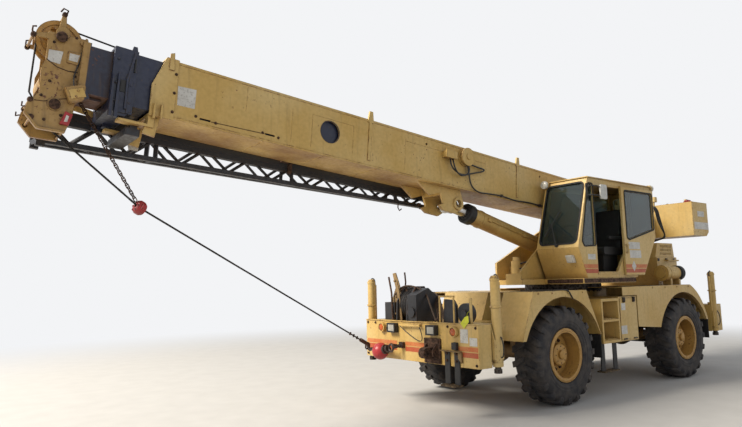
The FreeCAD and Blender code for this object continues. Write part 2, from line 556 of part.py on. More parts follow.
def tyre(way, side):
    """Lugged tyre in flat facets: two staggered rows of slanted lugs on a carcass that bulges below them."""
    x, y, z = way * WHEELBASE / 2, side * TRACK / 2, TYRE_RADIUS
    columns, half = 2 * LUGS_EACH_SIDE, TYRE_WIDTH / 2
    groove = TYRE_RADIUS - LUG_HEIGHT
    seat = (RIM_SEAT_RADIUS + SEAT) / cos(pi / columns)

    def corner(column, radius, across, slant=0.0):
        turn = 2 * pi * (column + slant) / columns - pi / 2
        return V(x + radius * cos(turn), y + side * across, z + radius * sin(turn))

    # radius and half width of the rings down the side wall, from the shoulder to the bead's seat
    rings = [(TYRE_RADIUS - 75, half - 3), (RIM_FLANGE_RADIUS + 100, half), (RIM_FLANGE_RADIUS + 26, half - 16),
             (RIM_FLANGE_RADIUS + 8, RIM_WIDTH / 2 - SEAT), (seat, RIM_WIDTH / 2 - SEAT)]
    middle, edge = 8, half - 40
    faces = []
    for column in range(columns):
        following = column + 1
        faces.append([corner(column, groove, middle, LUG_SLANT), corner(following, groove, middle, LUG_SLANT),
                      corner(following, groove, -middle, LUG_SLANT), corner(column, groove, -middle, LUG_SLANT)])
        faces.append([corner(column, seat, rings[-1][1]), corner(following, seat, rings[-1][1]),
                      corner(following, seat, -rings[-1][1]), corner(column, seat, -rings[-1][1])])
        for row in (1, -1):
            for (r0, a0), (r1, a1) in zip(rings, rings[1:]):
                faces.append([corner(column, r0, row * a0), corner(following, r0, row * a0),
                              corner(following, r1, row * a1), corner(column, r1, row * a1)])
            lug = (column + (row < 0)) % 2 == 0
            radius = TYRE_RADIUS if lug else groove
            inner = [corner(at, radius, row * middle, LUG_SLANT) for at in (column, following)]
            outer = [corner(at, radius, row * edge) for at in (column, following)]
            shoulder = [corner(at, rings[0][0], row * rings[0][1]) for at in (column, following)]
            faces += [[inner[0], inner[1], outer[1]], [inner[0], outer[1], outer[0]],
                      [outer[0], outer[1], shoulder[1], shoulder[0]]]
            low_inner = [corner(at, groove, row * middle, LUG_SLANT) for at in (column, following)]
            if lug:
                faces.append([low_inner[0], low_inner[1], inner[1], inner[0]])
                for end in (0, 1):
                    low_outer = corner(column + end, groove, row * edge)
                    faces += [[low_inner[end], inner[end], outer[end]], [low_inner[end], outer[end], low_outer],
                              [low_outer, outer[end], shoulder[end]]]
    return facet_solid(faces)


# Front fittings
def front_lamps():
    """Square lamps in deep housings and round marker lamps in rings."""
    face = FRONT_FACE_X + SEAT
    lamps, markers = [], []
    for y in (-470, 340):
        housing = box(face, face + 75, y - 85, y + 85, 1000, 1130)
        well = box(face + 45, face + 76, y - 70, y + 70, 1015, 1115)
        lens = box(face + 44, face + 60, y - 60, y + 60, 1025, 1105)
        lamps.append(joined(housing.cut(well), lens))
    for y in (-718, 730):
        ring = rod_x(y, 1060, 62, face, face + 45).cut(rod_x(y, 1060, 50, face + 20, face + 46))
        markers.append(joined(ring, rod_x(y, 1060, 42, face + 19, face + 38)))
    return apart(lamps, markers)


def rear_lamps():
    """Two lamp boxes with two lenses each on the rear box."""
    face = REAR_FACE_X - SEAT
    lamps = []
    for y in (-700, 700):
        housing = box(face - 60, face, y - 150, y + 150, 1020, 1130)
        lenses = [rod_x(y + step, 1075, 42, face - 74, face - 59) for step in (-80, 80)]
        lamps.append(joined(housing, lenses))
    return apart(lamps)


def tow_pintle():
    """Coupling: a bolted plate, a horn with side gussets, and the pinned jaw."""
    face = FRONT_FACE_X + SEAT
    plate = box(face, face + 25, 170, 470, 640, 960)
    horn = box(face + 25, face + 150, 270, 370, 710, 850)
    jaw = rod_y(face + 150, 780, 70, 270, 370)
    gussets = [slab_xz([(face + 24, 700), (face + 110, 745), (face + 110, 815), (face + 24, 900)], y, y + 20)
               for y in (215, 405)]
    webs = box(face + 24, face + 90, 215, 425, 765, 795)
    bolts = [rod_x(y, z, 16, face + 24, face + 40) for y in (200, 440) for z in (670, 930)]
    return joined(plate, horn, jaw, gussets, webs, bolts).cut(rod_y(face + 150, 780, 32, 260, 380))


def grooved_disc(x, y, z, radius, half_width):
    """A rope sheave with its groove, turned about an axis along Y."""
    groove = half_width * 0.9
    path = [(0, -half_width), (radius, -half_width), (radius - groove, 0), (radius, half_width), (0, half_width)]
    return turned_y(path, x, y, z)


def hook_block():
    """The spare hook block on the low deck: four grooved sheaves between cheeks; beside it a stowed box and plates."""
    base = FRONT_BOX_TOP + SEAT
    x, y, radius = 3070, -330, 215
    centre_z = base + radius + 10
    sheaves = [grooved_disc(x, y + offset, centre_z, radius, 24) for offset in (-72, -24, 24, 72)]
    cheek = [(x - 250, base), (x + 250, base), (x + 235, centre_z + 60), (x + 90, centre_z + 240),
             (x - 90, centre_z + 240), (x - 235, centre_z + 60)]
    cheeks = [slab_xz(cheek, y + across, y + across + 22) for across in (-120, 98)]
    shaft = rod_y(x, centre_z, 45, y - 150, y + 150)
    weights = slab_xz([(x - 235, base), (x + 235, base), (x + 235, centre_z + 140), (x, centre_z + 235),
                       (x - 235, centre_z + 60)], y + 119, y + 300)
    swivel = rod_x(y + 210, base + 130, 70, x + 234, x + 262)
    block = joined(sheaves, cheeks, shaft, weights, swivel)
    spare = box(x - 140, x + 150, -820, -600, base, base + 260)
    ears = [slab_xz([(x - 120, base + 259), (x + 60, base + 259), (x - 30, base + 330)], y_ear, y_ear + 20)
            for y_ear in (-800, -640)]
    plate = slab_yz([(420, base), (650, base), (650, base + 230), (600, base + 300), (440, base + 310)],
                    FRONT_FACE_X - 150, FRONT_FACE_X - 110)
    wheel = rod_x(800, base + 130, 130, FRONT_FACE_X - 190, FRONT_FACE_X - 120)
    hub = rod_x(800, base + 130, 45, FRONT_FACE_X - 230, FRONT_FACE_X - 90)
    return apart(block, joined(spare, ears), plate, joined(wheel, hub))


def hook_ball():
    """The ball weight of the single line with its swivel, its hook lying out to the right, held to the front box."""
    centre = V(3500, -600, 740)
    ball = Part.makeSphere(118, centre)
    neck = rod_between(centre, V(3500, -420, 790), 48)
    collar = rod_between(V(3500, -500, 768), V(3500, -470, 776), 66)
    ring_middle = V(3492, -372, 800)
    ring = Part.makeTorus(46, 15, ring_middle, V(1, 0, 0))
    shank = rod_between(ring_middle + V(0, 40, 6), V(FRONT_FACE_X + 30, -290, 835), 22)
    foot = box(FRONT_FACE_X + SEAT, FRONT_FACE_X + 45, -330, -250, 795, 875)
    throat = [V(3500, -730, 742), V(3500, -790, 760), V(3500, -850, 745), V(3500, -890, 790)]
    hook = [rod_between(a, b, 24) for a, b in zip([centre] + throat, throat)]
    knees = [Part.makeSphere(24, point) for point in throat]
    return joined(ball, neck, collar, ring, shank, foot, hook, knees)


def grab_rails():
    """Hoop handle and post on the front box, and a hand rail on each side of the hood."""
    top, low = 1500, FRONT_BOX_TOP + SEAT
    x = FRONT_FACE_X - 60
    handle = joined([rod_z(x, y, 12, low, top) for y in (406, 664)] + [rod_y(x, top, 12, 394, 676)])
    post = rod_z(x, 961, 18, low, top - 20)
    rail_z, rear_x, front_x = HOOD_STEP_Z - 60, HOOD_REAR + 90, HOOD_REAR + 430
    rails = []
    for _, side in SIDES:
        y = side * (HOOD_HALF_WIDTH + 60)
        stubs = [rod_y(at, rail_z, 12, side * (HOOD_HALF_WIDTH + SEAT), y) for at in (rear_x, front_x)]
        rails.append(joined(rod_x(y, rail_z, 14, rear_x - 30, front_x + 30), stubs))
    return apart(handle, post, rails)


SHAFT_RADIUS = 45


def driveline():
    z = TYRE_RADIUS + 90
    gearbox = box(-900, -350, -240, 240, z - 30, FRAME_BOTTOM + 200)
    reach = WHEELBASE / 2 - (DIFF_RADIUS ** 2 - (z - TYRE_RADIUS - SHAFT_RADIUS) ** 2) ** 0.5 - SEAT
    front = rod_x(0, z, SHAFT_RADIUS, -350, reach)
    rear = rod_x(0, z, SHAFT_RADIUS, -reach, -900)
    hangers = [box(-700, -550, side * 240, side * (RAIL_OUTER_Y - RAIL_WIDTH - SEAT), FRAME_BOTTOM + 60,
                   FRAME_BOTTOM + 140) for _, side in SIDES]
    return joined(gearbox, front, rear, hangers)


# Superstructure
# Front edge of each side plate: nose, top of the nose, a point on the slope, then up to the foot pin
PLATE_FRONT = {1: ((NOSE_LEFT, 1817), (701, 2489)), -1: ((NOSE_RIGHT, 1974), (-34, 2583))}
PLATE_TOP = 3000


def turret_plate(side):
    """A side plate: nose, slope up to the foot pin, and the tail that carries the weight."""
    base = TURRET_BOTTOM + BASE_PLATE
    nose, shoulder = PLATE_FRONT[side]
    path = [(-1080, base), (nose[0], base), nose, shoulder,
            (LUFF_PIVOT[0] + 380, PLATE_TOP - 60), (LUFF_PIVOT[0] + 150, PLATE_TOP), (LUFF_PIVOT[0] - 200, PLATE_TOP),
            (WEIGHT_FRONT_X + SEAT, 2950), (WEIGHT_FRONT_X + SEAT, 2470), (-1500, 2440)]
    inner = side * TURRET_INNER_Y
    return slab_xz(path, inner, inner + side * TURRET_PLATE)


DRUM_SHAFT_RADIUS = 40
DRUM_TURNS = 16
TIE_THICKNESS = 40


def turret_frame():
    outer = TURRET_INNER_Y + TURRET_PLATE
    base = slab_xy([(-1080, -1080), (430, -1080), (NOSE_RIGHT, -outer), (NOSE_RIGHT, -60), (NOSE_LEFT, 90),
                    (NOSE_LEFT, outer + 20), (1150, 500), (1150, CAB_OUTER_Y), (-250, CAB_OUTER_Y), (-1080, 700)],
                   TURRET_BOTTOM, TURRET_BOTTOM + BASE_PLATE)
    plates = [turret_plate(side) for _, side in SIDES]
    inner = TURRET_INNER_Y
    tie_front = DRUM_X + DRUM_FLANGE_RADIUS + 30 + TIE_THICKNESS
    tie = box(tie_front - TIE_THICKNESS, tie_front, -inner, inner, 2470, 2700)
    back = box(-1120, -1060, -inner, inner, TURRET_BOTTOM + BASE_PLATE, 2300)
    floor_z = TURRET_BOTTOM + BASE_PLATE
    swing_motor = [rod_z(NOSE_RIGHT - 100, -20, radius, low, high)
                   for radius, low, high in ((125, floor_z, floor_z + 70), (90, floor_z, 2000), (60, 2000, 2060))]
    front_box = [box(NOSE_RIGHT - 320, NOSE_RIGHT - 300, -inner, inner, floor_z, floor_z + 220),
                 box(NOSE_LEFT - 30, NOSE_LEFT, 90, inner + 1, floor_z, floor_z + 90)]
    sill = box(-250, 1150, CAB_OUTER_Y - 40, CAB_OUTER_Y + 20, TURRET_BOTTOM + 5, floor_z - 5)
    gussets = [slab_xz([(x, floor_z - 1), (x + 150, floor_z - 1), (x + 20, floor_z + 190), (x, floor_z + 190)],
                       -outer - 60, -outer + 1) for x in (420, 760)]
    bosses = [rod_y(at[0], at[1], radius, side * (outer - 1), side * (outer + 25))
              for at, radius in ((LUFF_PIVOT, PIVOT_PIN_RADIUS + 55), (LIFT_FOOT, LIFT_PIN_RADIUS + 45),
                                 ((DRUM_X, DRUM_Z), DRUM_SHAFT_RADIUS + 50)) for _, side in SIDES]
    body = joined(base, plates, tie, back, swing_motor, front_box, sill, gussets, bosses)
    body = body.cut(rod_y(DRUM_X, DRUM_Z, DRUM_SHAFT_RADIUS + SEAT, -inner - 100, inner + 100))
    reach = outer + 35
    foot_pin = rod_y(LUFF_PIVOT[0], LUFF_PIVOT[1], PIVOT_PIN_RADIUS, -reach, reach)
    lift_pin = rod_y(LIFT_FOOT[0], LIFT_FOOT[1], LIFT_PIN_RADIUS, -reach, reach)
    return joined(body, foot_pin, lift_pin)


def counterweight():
    """Cast weight across the tail: sloped under its rear edge, rear corners cut off, two lifting eyes on top."""
    rear = WEIGHT_FRONT_X - WEIGHT_LENGTH
    slope = [(WEIGHT_FRONT_X, WEIGHT_BOTTOM), (WEIGHT_FRONT_X, WEIGHT_TOP), (rear, WEIGHT_TOP),
             (rear, WEIGHT_BOTTOM + 150), (rear + 190, WEIGHT_BOTTOM)]
    body = slab_xz(slope, -WEIGHT_HALF_WIDTH, WEIGHT_HALF_WIDTH)
    corners = [slab_xy([(rear - 1, side * (WEIGHT_HALF_WIDTH - 90)), (rear + 90, side * (WEIGHT_HALF_WIDTH + 1)),
                        (rear - 1, side * (WEIGHT_HALF_WIDTH + 1))], WEIGHT_BOTTOM - 1, WEIGHT_TOP + 1)
               for _, side in SIDES]
    panel = box(rear - 1, rear + 15, -520, 520, WEIGHT_BOTTOM + 210, WEIGHT_TOP - 90)
    middle = WEIGHT_FRONT_X - WEIGHT_LENGTH / 2
    eyes = []
    for _, side in SIDES:
        y = side * (WEIGHT_HALF_WIDTH - 250)
        eye = slab_xz([(middle - 90, WEIGHT_TOP - 1), (middle - 40, WEIGHT_TOP + 90), (middle + 40, WEIGHT_TOP + 90),
                       (middle + 90, WEIGHT_TOP - 1)], y - 15, y + 15)
        eyes.append(eye.cut(rod_y(middle, WEIGHT_TOP + 45, 24, y - 20, y + 20)))
    return joined(body.cut(corners).cut(panel), eyes)


def hoist_drum():
    """Rope drum: the wound rope as shallow rounds, flanges with a stiff rim, and its shaft."""
    half = TURRET_INNER_Y - 12
    path = [(0, -half), (DRUM_FLANGE_RADIUS, -half), (DRUM_FLANGE_RADIUS, 22 - half), (DRUM_RADIUS, 22 - half)]
    pitch = (2 * half - 44) / DRUM_TURNS
    for turn in range(DRUM_TURNS):
        start = 22 - half + turn * pitch
        path += [(DRUM_RADIUS + 11, start + pitch / 2), (DRUM_RADIUS, start + pitch)]
    path += [(DRUM_FLANGE_RADIUS, half - 22), (DRUM_FLANGE_RADIUS, half), (0, half)]
    shaft = rod_y(DRUM_X, DRUM_Z, DRUM_SHAFT_RADIUS, -TURRET_INNER_Y - TURRET_PLATE, TURRET_INNER_Y + TURRET_PLATE)
    return joined(turned_y(path, DRUM_X, 0, DRUM_Z), shaft)


def machinery_cover():
    """Cover and oil tank along the right side plate, with vents let into its sloped front and outer side."""
    base = TURRET_BOTTOM + BASE_PLATE + SEAT
    outer, inner = -1040, -TURRET_INNER_Y - TURRET_PLATE - 26 - SEAT
    cover = slab_xz([(-900, base), (250, base), (250, base + 160), (100, base + 300), (-900, base + 300)], outer, inner)
    vents = [box(x, x + 24, outer - 1, outer + 14, base + 70, base + 230) for x in range(-780, -330, 56)]
    filler = rod_z(-150, (outer + inner) / 2, 50, base + 299, base + 345)
    hatch = box(-820, -420, outer + 90, inner - 120, base + 299, base + 312)
    return joined(cover.cut(vents), filler, hatch)


# Cab
CAB_BASE = TURRET_BOTTOM + BASE_PLATE + SEAT
CAB_PROFILE = ((1020, CAB_BASE), (1216, 2147), (882, 3198), (-927, 3185), (-902, 2332), (-338, CAB_BASE))
QUARTER_WINDOW = rounded(((1098, 2240), (874, 3100), (775, 3100), (775, 2190), (1058, 2175)), 28)
SIDE_WINDOW = rounded(((-300, 2400), (-300, 3060), (-870, 3060), (-870, 2480)), 45)
RIGHT_WINDOW = rounded(((1000, 2260), (800, 3080), (-800, 3080), (-800, 2500)), 60)
DOOR_OPENING = ((743, 1790), (743, 3090), (-230, 3090), (-230, 2330), (210, 1790))


def inset(path, distance):
    """The same outline moved inwards by a wall or a gap."""
    return outline_face(path, lambda x, z: V(x, 0, z)).makeOffset2D(-distance)


def prism_from(face, y0, y1):
    placed = face.copy()
    placed.translate(V(0, min(y0, y1), 0))
    return placed.extrude(V(0, abs(y1 - y0), 0))


def raised_frame(path, width, y0, y1):
    """A gasket or frame: the strip just outside an opening's outline."""
    face = outline_face(path, lambda x, z: V(x, 0, z))
    return prism_from(face.makeOffset2D(width), y0, y1).cut(prism_from(face, y0 - 1, y1 + 1))


def cab_shell():
    """Hollow cab with its windows cut, gaskets round the side glass, the roof's lip, rails and lamps."""
    path = list(CAB_PROFILE)
    outer = slab_xz(path, CAB_INNER_Y, CAB_OUTER_Y)
    hollow = prism_from(inset(path, CAB_WALL), CAB_INNER_Y + CAB_WALL, CAB_OUTER_Y - CAB_WALL)
    cutters = [slab_xz(list(DOOR_OPENING), CAB_OUTER_Y - CAB_WALL - 1, CAB_OUTER_Y + 1)]
    for window in (QUARTER_WINDOW, SIDE_WINDOW):
        cutters.append(slab_xz(window, CAB_OUTER_Y - CAB_WALL - 1, CAB_OUTER_Y + 1))
    cutters.append(slab_xz(RIGHT_WINDOW, CAB_INNER_Y - 1, CAB_INNER_Y + CAB_WALL + 1))
    front = outline_face(rounded(((CAB_INNER_Y + 55, 2222), (CAB_OUTER_Y - 55, 2222), (CAB_OUTER_Y - 55, 3122),
                                  (CAB_INNER_Y + 55, 3122)), 60), lambda y, z: V(780, y, z))
    cutters.append(front.extrude(V(600, 0, 0)))
    cutters.append(slab_yz(rounded(((CAB_INNER_Y + 80, 2420), (CAB_OUTER_Y - 80, 2420), (CAB_OUTER_Y - 80, 3060),
                                    (CAB_INNER_Y + 80, 3060)), 60), -1000, -850))
    shape = outer.cut(hollow).cut(cutters)
    rails = [box(rear_x, 760, CAB_OUTER_Y - 1, CAB_OUTER_Y + DOOR_GAP - SEAT, z, z + 22)
             for rear_x, z in ((-900, 3093), (-440, 1752))]
    gasket = raised_frame(QUARTER_WINDOW, 18, CAB_OUTER_Y - 1, CAB_OUTER_Y + 6)
    inner_gasket = raised_frame(RIGHT_WINDOW, 20, CAB_INNER_Y - 8, CAB_INNER_Y + 1)
    roof_lip = slab_xz([(905, 3198), (905, 3212), (-945, 3199), (-945, 3184)], CAB_INNER_Y - 12, CAB_OUTER_Y + 12)
    hatch = box(-350, 250, CAB_INNER_Y + 150, CAB_OUTER_Y - 150, 3195, 3228)
    lamps = []
    for x, y in ((905, CAB_INNER_Y + 25), (-935, CAB_OUTER_Y - 30)):
        lamps.append(rod_x(y, 3170, 52, x, x + 70) if x > 0 else rod_x(y, 3170, 52, x - 60, x + 10))
    return joined(shape, rails, gasket, inner_gasket, roof_lip, hatch, lamps)


def cab_glass():
    y_left = CAB_OUTER_Y - CAB_WALL / 2
    quarter = prism_from(inset(QUARTER_WINDOW, SEAT), y_left - GLASS / 2, y_left + GLASS / 2)
    side_window = prism_from(inset(SIDE_WINDOW, SEAT), y_left - GLASS / 2, y_left + GLASS / 2)
    return apart(quarter, side_window)


def cab_interior():
    """Seat on its box, and the console with its levers and the steering column."""
    floor = CAB_BASE + CAB_WALL + SEAT
    seat_base = box(-150, 250, 650, 950, floor, floor + 320)
    cushion = slab_xz(rounded(((-200, floor + 319), (330, floor + 319), (330, floor + 440), (-200, floor + 440)), 40),
                      580, 1020)
    back = slab_xz(rounded(((-210, floor + 400), (-90, floor + 400), (-200, floor + 1050), (-320, floor + 1050)), 35),
                   590, 1010)
    console = slab_xz([(700, floor), (900, floor), (900, floor + 500), (840, floor + 600), (700, floor + 560)], 560, 1040)
    column = rod_between(V(790, 800, floor + 560), V(750, 800, floor + 650), 28)
    levers = [rod_between(V(780, y, floor + 560), V(750, y, floor + 730), 10) for y in (600, 660, 940, 1000)]
    return apart(joined(seat_base, cushion, back), joined(console, column, levers))


DOOR_WINDOW = rounded(((-53, 2320), (-53, 3050), (-871, 3050), (-871, 2480), (-110, 2299)), 24)
DOOR_PROFILE = ((48, 1735), (48, 3120), (-925, 3120), (-915, 2340), (-490, 1735))


def cab_door():
    """Sliding door: pressed frame round the window, a rib across, and its handle."""
    y0 = CAB_OUTER_Y + DOOR_GAP
    y1 = y0 + DOOR_THICKNESS
    panel = slab_xz(list(DOOR_PROFILE), y0, y1)
    window = slab_xz(DOOR_WINDOW, y0 - 1, y1 + 1)
    gasket = raised_frame(DOOR_WINDOW, 20, y1 - 1, y1 + 6)
    handle = [box(-40, 20, y1 - 1, y1 + 30, z, z + 18) for z in (2070, 2190)] + [box(-20, 0, y1 + 18, y1 + 32, 2070, 2208)]
    return joined(panel.cut(window), gasket, handle)


def door_glass():
    y = CAB_OUTER_Y + DOOR_GAP + DOOR_THICKNESS / 2
    return prism_from(inset(DOOR_WINDOW, SEAT), y - GLASS / 2, y + GLASS / 2)


# Boom sections, drawn in the boom's own frame
def section_tube(step, rear_u, front_u, wall):
    half, top = BASE_WIDTH / 2 - step / 2, BASE_TOP_V - step / 2
    bottom = BASE_TOP_V - BASE_HEIGHT + step / 2
    outer = box(rear_u, front_u, -half, half, bottom, top)
    pad_top = BASE_TOP_V - (step - SECTION_STEP) / 2 - BASE_WALL - SEAT
    inner = box(rear_u - 1, front_u + 1, -half + wall, half - wall, bottom + wall, top - wall)
    tube = outer.cut(inner)
    pads = [box(front_u - 200, front_u - 20, y0, y0 + 120, bottom + wall, bottom + SECTION_STEP / 2 - SEAT)
            for y0 in (-half + 60, half - 180)] if front_u != FLY_FRONT_U else []
    if step:
        pads.append(box(rear_u + 20, rear_u + 200, -120, 120, top, pad_top))
    return joined(tube, pads)


LIFT_EYE_PIN_RADIUS = 55
TAIL_SHEAVE = (-200, 260)
JIB_HANGERS = (7800, 6200, 4300)
SIDE_LUGS = ((5498, 550), (2626, 541))                   # u and the lug's top
SIDE_HOLES = ((6095, 141, 130), (4530, 340, 16), (2069, 343, 16))      # u, v, radius
SIDE_SLOTS = ((7647, -94), (6886, -81))


def side_lug(u, top, half):
    """A strip down both sides and a lug standing above the top plate."""
    parts = []
    for _, side in SIDES:
        parts.append(box(u - 22, u + 22, side * half, side * (half + 12), -90, BASE_TOP_V + 1))
        parts.append(slab_xz([(u - 45, BASE_TOP_V - 40), (u + 45, BASE_TOP_V - 40), (u + 24, top), (u - 24, top)],
                             side * (half - 14), side * (half + 14)))
    return parts


def boom_base():
    """Outer section: box tube, front collar with its fork, lugs, the lift cylinder's bracket and the foot bosses."""
    tube = section_tube(0, BASE_REAR_U, BASE_FRONT_U, BASE_WALL)
    half = BASE_WIDTH / 2
    bottom = BASE_TOP_V - BASE_HEIGHT
    front, lip = BASE_FRONT_U, 14
    collar = slab_xz([(front - 80, bottom - 20), (front + 160, bottom - 20), (front + 169, 136),
                      (front + 46, BASE_TOP_V + lip), (front - 80, BASE_TOP_V + lip)], -half - lip, half + lip)
    collar = collar.cut(box(front - 200, front + 200, -half + BASE_WALL, half - BASE_WALL,
                            bottom + BASE_WALL, BASE_TOP_V - BASE_WALL))
    fittings = []
    for _, side in SIDES:
        out = side * (half + lip)
        fittings.append(slab_xz([(front - 35, 330), (front + 20, 330), (front + 20, 500), (front - 20, 516)],
                                out - side, out + side * 14))
        fittings += [box(u, u + 22, out - side, out + side * 34, -215, -60) for u in (front + 40, front + 110)]
        fittings.append(slab_xz([(front + 40, bottom - 10), (front + 150, bottom - 10), (front + 194, -368),
                                 (front + 70, -385)], side * 250, side * 278))
        fittings.append(box(front + 120, front + 438, side * 190, side * 300, -300, -272))
        fittings.append(box(front + 100, front + 160, side * 190, side * 300, -300, bottom - 10))
        fittings.append(rod_y(TAIL_SHEAVE[0], TAIL_SHEAVE[1], 60, side * (half - 1), side * (half + 30)))
    ears = []
    for _, side in SIDES:
        u, v = LIFT_PIN
        ear = slab_xz([(u + 770, bottom), (u + 278, v - 133), (u + 30, v - 144), (u - 95, v - 60), (u - 95, v + 96),
                       (u - 41, bottom)], side * 160, side * 200)
        window = slab_xz([(u + 602, v + 16), (u + 338, v + 115), (u + 276, v - 37), (u + 377, v - 77)],
                         side * 150, side * 210)
        boss = rod_y(u, v, LIFT_EYE_PIN_RADIUS + 38, side * 199, side * 225)
        ears.append(joined(ear.cut(window), boss).cut(rod_y(u, v, LIFT_EYE_PIN_RADIUS + SEAT, -230, 230)))
    tie = box(LIFT_PIN[0] + 300, LIFT_PIN[0] + 330, -161, 161, bottom - 120, bottom + 1)
    foot = [rod_y(0, 0, 150, side * (half - 40), side * (TURRET_INNER_Y - 5)) for _, side in SIDES]
    lugs = [part for u, top in SIDE_LUGS for part in side_lug(u, top, half)]
    tail = [box(BASE_REAR_U, BASE_REAR_U + 40, side * (half - 1), side * (half + 18), bottom, BASE_TOP_V)
            for _, side in SIDES]
    body = joined(tube, collar, fittings, ears, tie, foot, lugs, tail)
    holes = [rod_y(u, v, radius, -half - lip - 1, half + lip + 1) for u, v, radius in SIDE_HOLES]
    slots = [box(u - 60, u + 60, half - BASE_WALL - 1, half + 1, v - 10, v + 10) for u, v in SIDE_SLOTS]
    return boom_place(body.cut(rod_y(0, 0, PIVOT_PIN_RADIUS + SEAT, -half - 40, half + 40)).cut(holes + slots))


def boom_mid():
    """Middle section with its heavy front collar: side ribs, a slanted strut, doublers and low guides."""
    tube = section_tube(SECTION_STEP, MID_REAR_U, MID_FRONT_U, BASE_WALL)
    half = BASE_WIDTH / 2
    bottom = BASE_TOP_V - BASE_HEIGHT
    front = MID_FRONT_U
    collar = box(front - 220, front, -half, half, bottom - 60, BASE_TOP_V - 20)
    inner_half = half - SECTION_STEP / 2 - BASE_WALL
    collar = collar.cut(box(front - 300, front + 10, -inner_half, inner_half,
                            bottom + SECTION_STEP / 2 + BASE_WALL, BASE_TOP_V - SECTION_STEP / 2 - BASE_WALL))
    fittings = []
    for _, side in SIDES:
        start = side * (half - 1)
        for u, top in ((front - 64, 156), (front - 14, 136)):
            fittings.append(slab_xz([(u, top), (u + 14, top), (u + 14, -288), (u - 20, -288)], start, side * (half + 34)))
        fittings.append(slab_xz([(front - 200, 410), (front - 180, 410), (front - 130, 110), (front - 137, -185),
                                 (front - 157, -185), (front - 150, 110)], start, side * (half + 22)))
        fittings.append(slab_xz([(front - 190, 144), (front - 155, 130), (front - 160, -228), (front - 205, -200)],
                                start, side * (half + 10)))
        fittings.append(slab_xz([(front - 215, 400), (front - 150, 400), (front - 165, 470), (front - 200, 470)],
                                side * (half - 30), side * (half - 4)))
        fittings.append(slab_xz([(front - 180, bottom - 59), (front - 80, bottom - 59), (front - 83, -255),
                                 (front - 160, -255)], side * 200, side * 300))
    top_guides = [box(front - 130, front - 60, y, y + 40, BASE_TOP_V - 21, BASE_TOP_V + 24) for y in (-150, 110)]
    return boom_place(joined(tube, collar, fittings, top_guides))


HEAD_PLATE = ((8825, 440), (9165, 422), (9158, 152), (9184, 62), (9170, -175), (9253, -301), (9268, -398),
              (9151, -519), (8918, -511), (8874, -355), (8863, 11))


# On both head plates: each piece's outline and how far it stands out
HEAD_FITTINGS = ((((8983, 275), (8860, 281), (8882, 164), (8984, 166)), 12),
                 (((9268, -398), (9151, -519), (8918, -511), (8913, -491), (9144, -497), (9246, -392)), 22),
                 (((8833, 446), (8853, 446), (8888, 11), (8868, 11)), 12))
HEAD_BOSSES = ((9047, 438, 60, 14), (8867, 393, 30, 24), (9035, -259, 62, 10), (9011, -94, 20, 6))     # u, v, radius, depth
ROPE_GUARD_ARMS = (((9150, 410), (9290, 372), (9303, 338), (9150, 352)),
                   ((9020, 425), (9040, 640), (9072, 640), (9092, 425)))
ROPE_PINS = ((9285, 352), (9056, 624), (9232, -262), (9205, -420))
SWITCH_BOX = ((8979, -97), (8817, -34), (8765, -154), (8919, -228))
RED_BLOCK = ((8936, -314), (8877, -331), (8900, -434), (8970, -435))


def boom_fly():
    """Inner section and head: two shaped plates with a turned-out nose edge, cover, rope pins and side fittings."""
    tube = section_tube(2 * SECTION_STEP, FLY_REAR_U, FLY_FRONT_U, BASE_WALL)
    inner, outer = HEAD_HALF_WIDTH - HEAD_PLATE_THICKNESS, HEAD_HALF_WIDTH
    plates = [slab_xz(list(HEAD_PLATE), side * inner, side * outer) for _, side in SIDES]
    half = BASE_WIDTH / 2 - SECTION_STEP
    top, bottom = BASE_TOP_V - SECTION_STEP, BASE_TOP_V - BASE_HEIGHT + SECTION_STEP
    backing = box(8800, 8870, -half, half, bottom - 30, top + 30)
    window = box(8790, 8871, -130, 130, bottom + 60, top + 31)
    shafts = [rod_y(point[0], point[1], SHEAVE_SHAFT_RADIUS, -outer - 20, outer + 20)
              for point in (TOP_SHEAVE, LOW_SHEAVE)]
    fittings = []
    for _, side in SIDES:
        # outline, then how far the piece stands out from the plate
        for outline, depth in HEAD_FITTINGS:
            fittings.append(slab_xz(list(outline), side * (outer - 1), side * (outer + depth)))
        for u, v, radius, depth in HEAD_BOSSES:
            fittings.append(rod_y(u, v, radius, side * (outer - 1), side * (outer + depth)))
        for outline in ROPE_GUARD_ARMS:
            fittings.append(slab_xz(list(outline), side * inner, side * outer))
    fittings += [slab_xz(list(SWITCH_BOX), outer - 1, outer + 95), slab_xz(list(RED_BLOCK), outer - 1, outer + 40)]
    pins = [rod_y(u, v, 12, -inner - 1, inner + 1) for u, v in ROPE_PINS]
    cover = rod_y(9070, -57, 115, -inner - 1, inner + 1).cut(rod_y(9070, -57, 105, -inner - 2, inner + 2))
    cover = cover.common(box(9120, 9200, -inner - 1, inner + 1, -110, 60))
    chin = slab_xz([(8898, -410), (8924, -503), (8942, -498), (8914, -410)], -inner - 1, inner + 1)
    arm = box(8640, 8880, -150, 150, bottom - 29, bottom - 4)
    return boom_place(joined(joined(tube, plates, backing, arm).cut(window), shafts, fittings, pins, cover, chin))


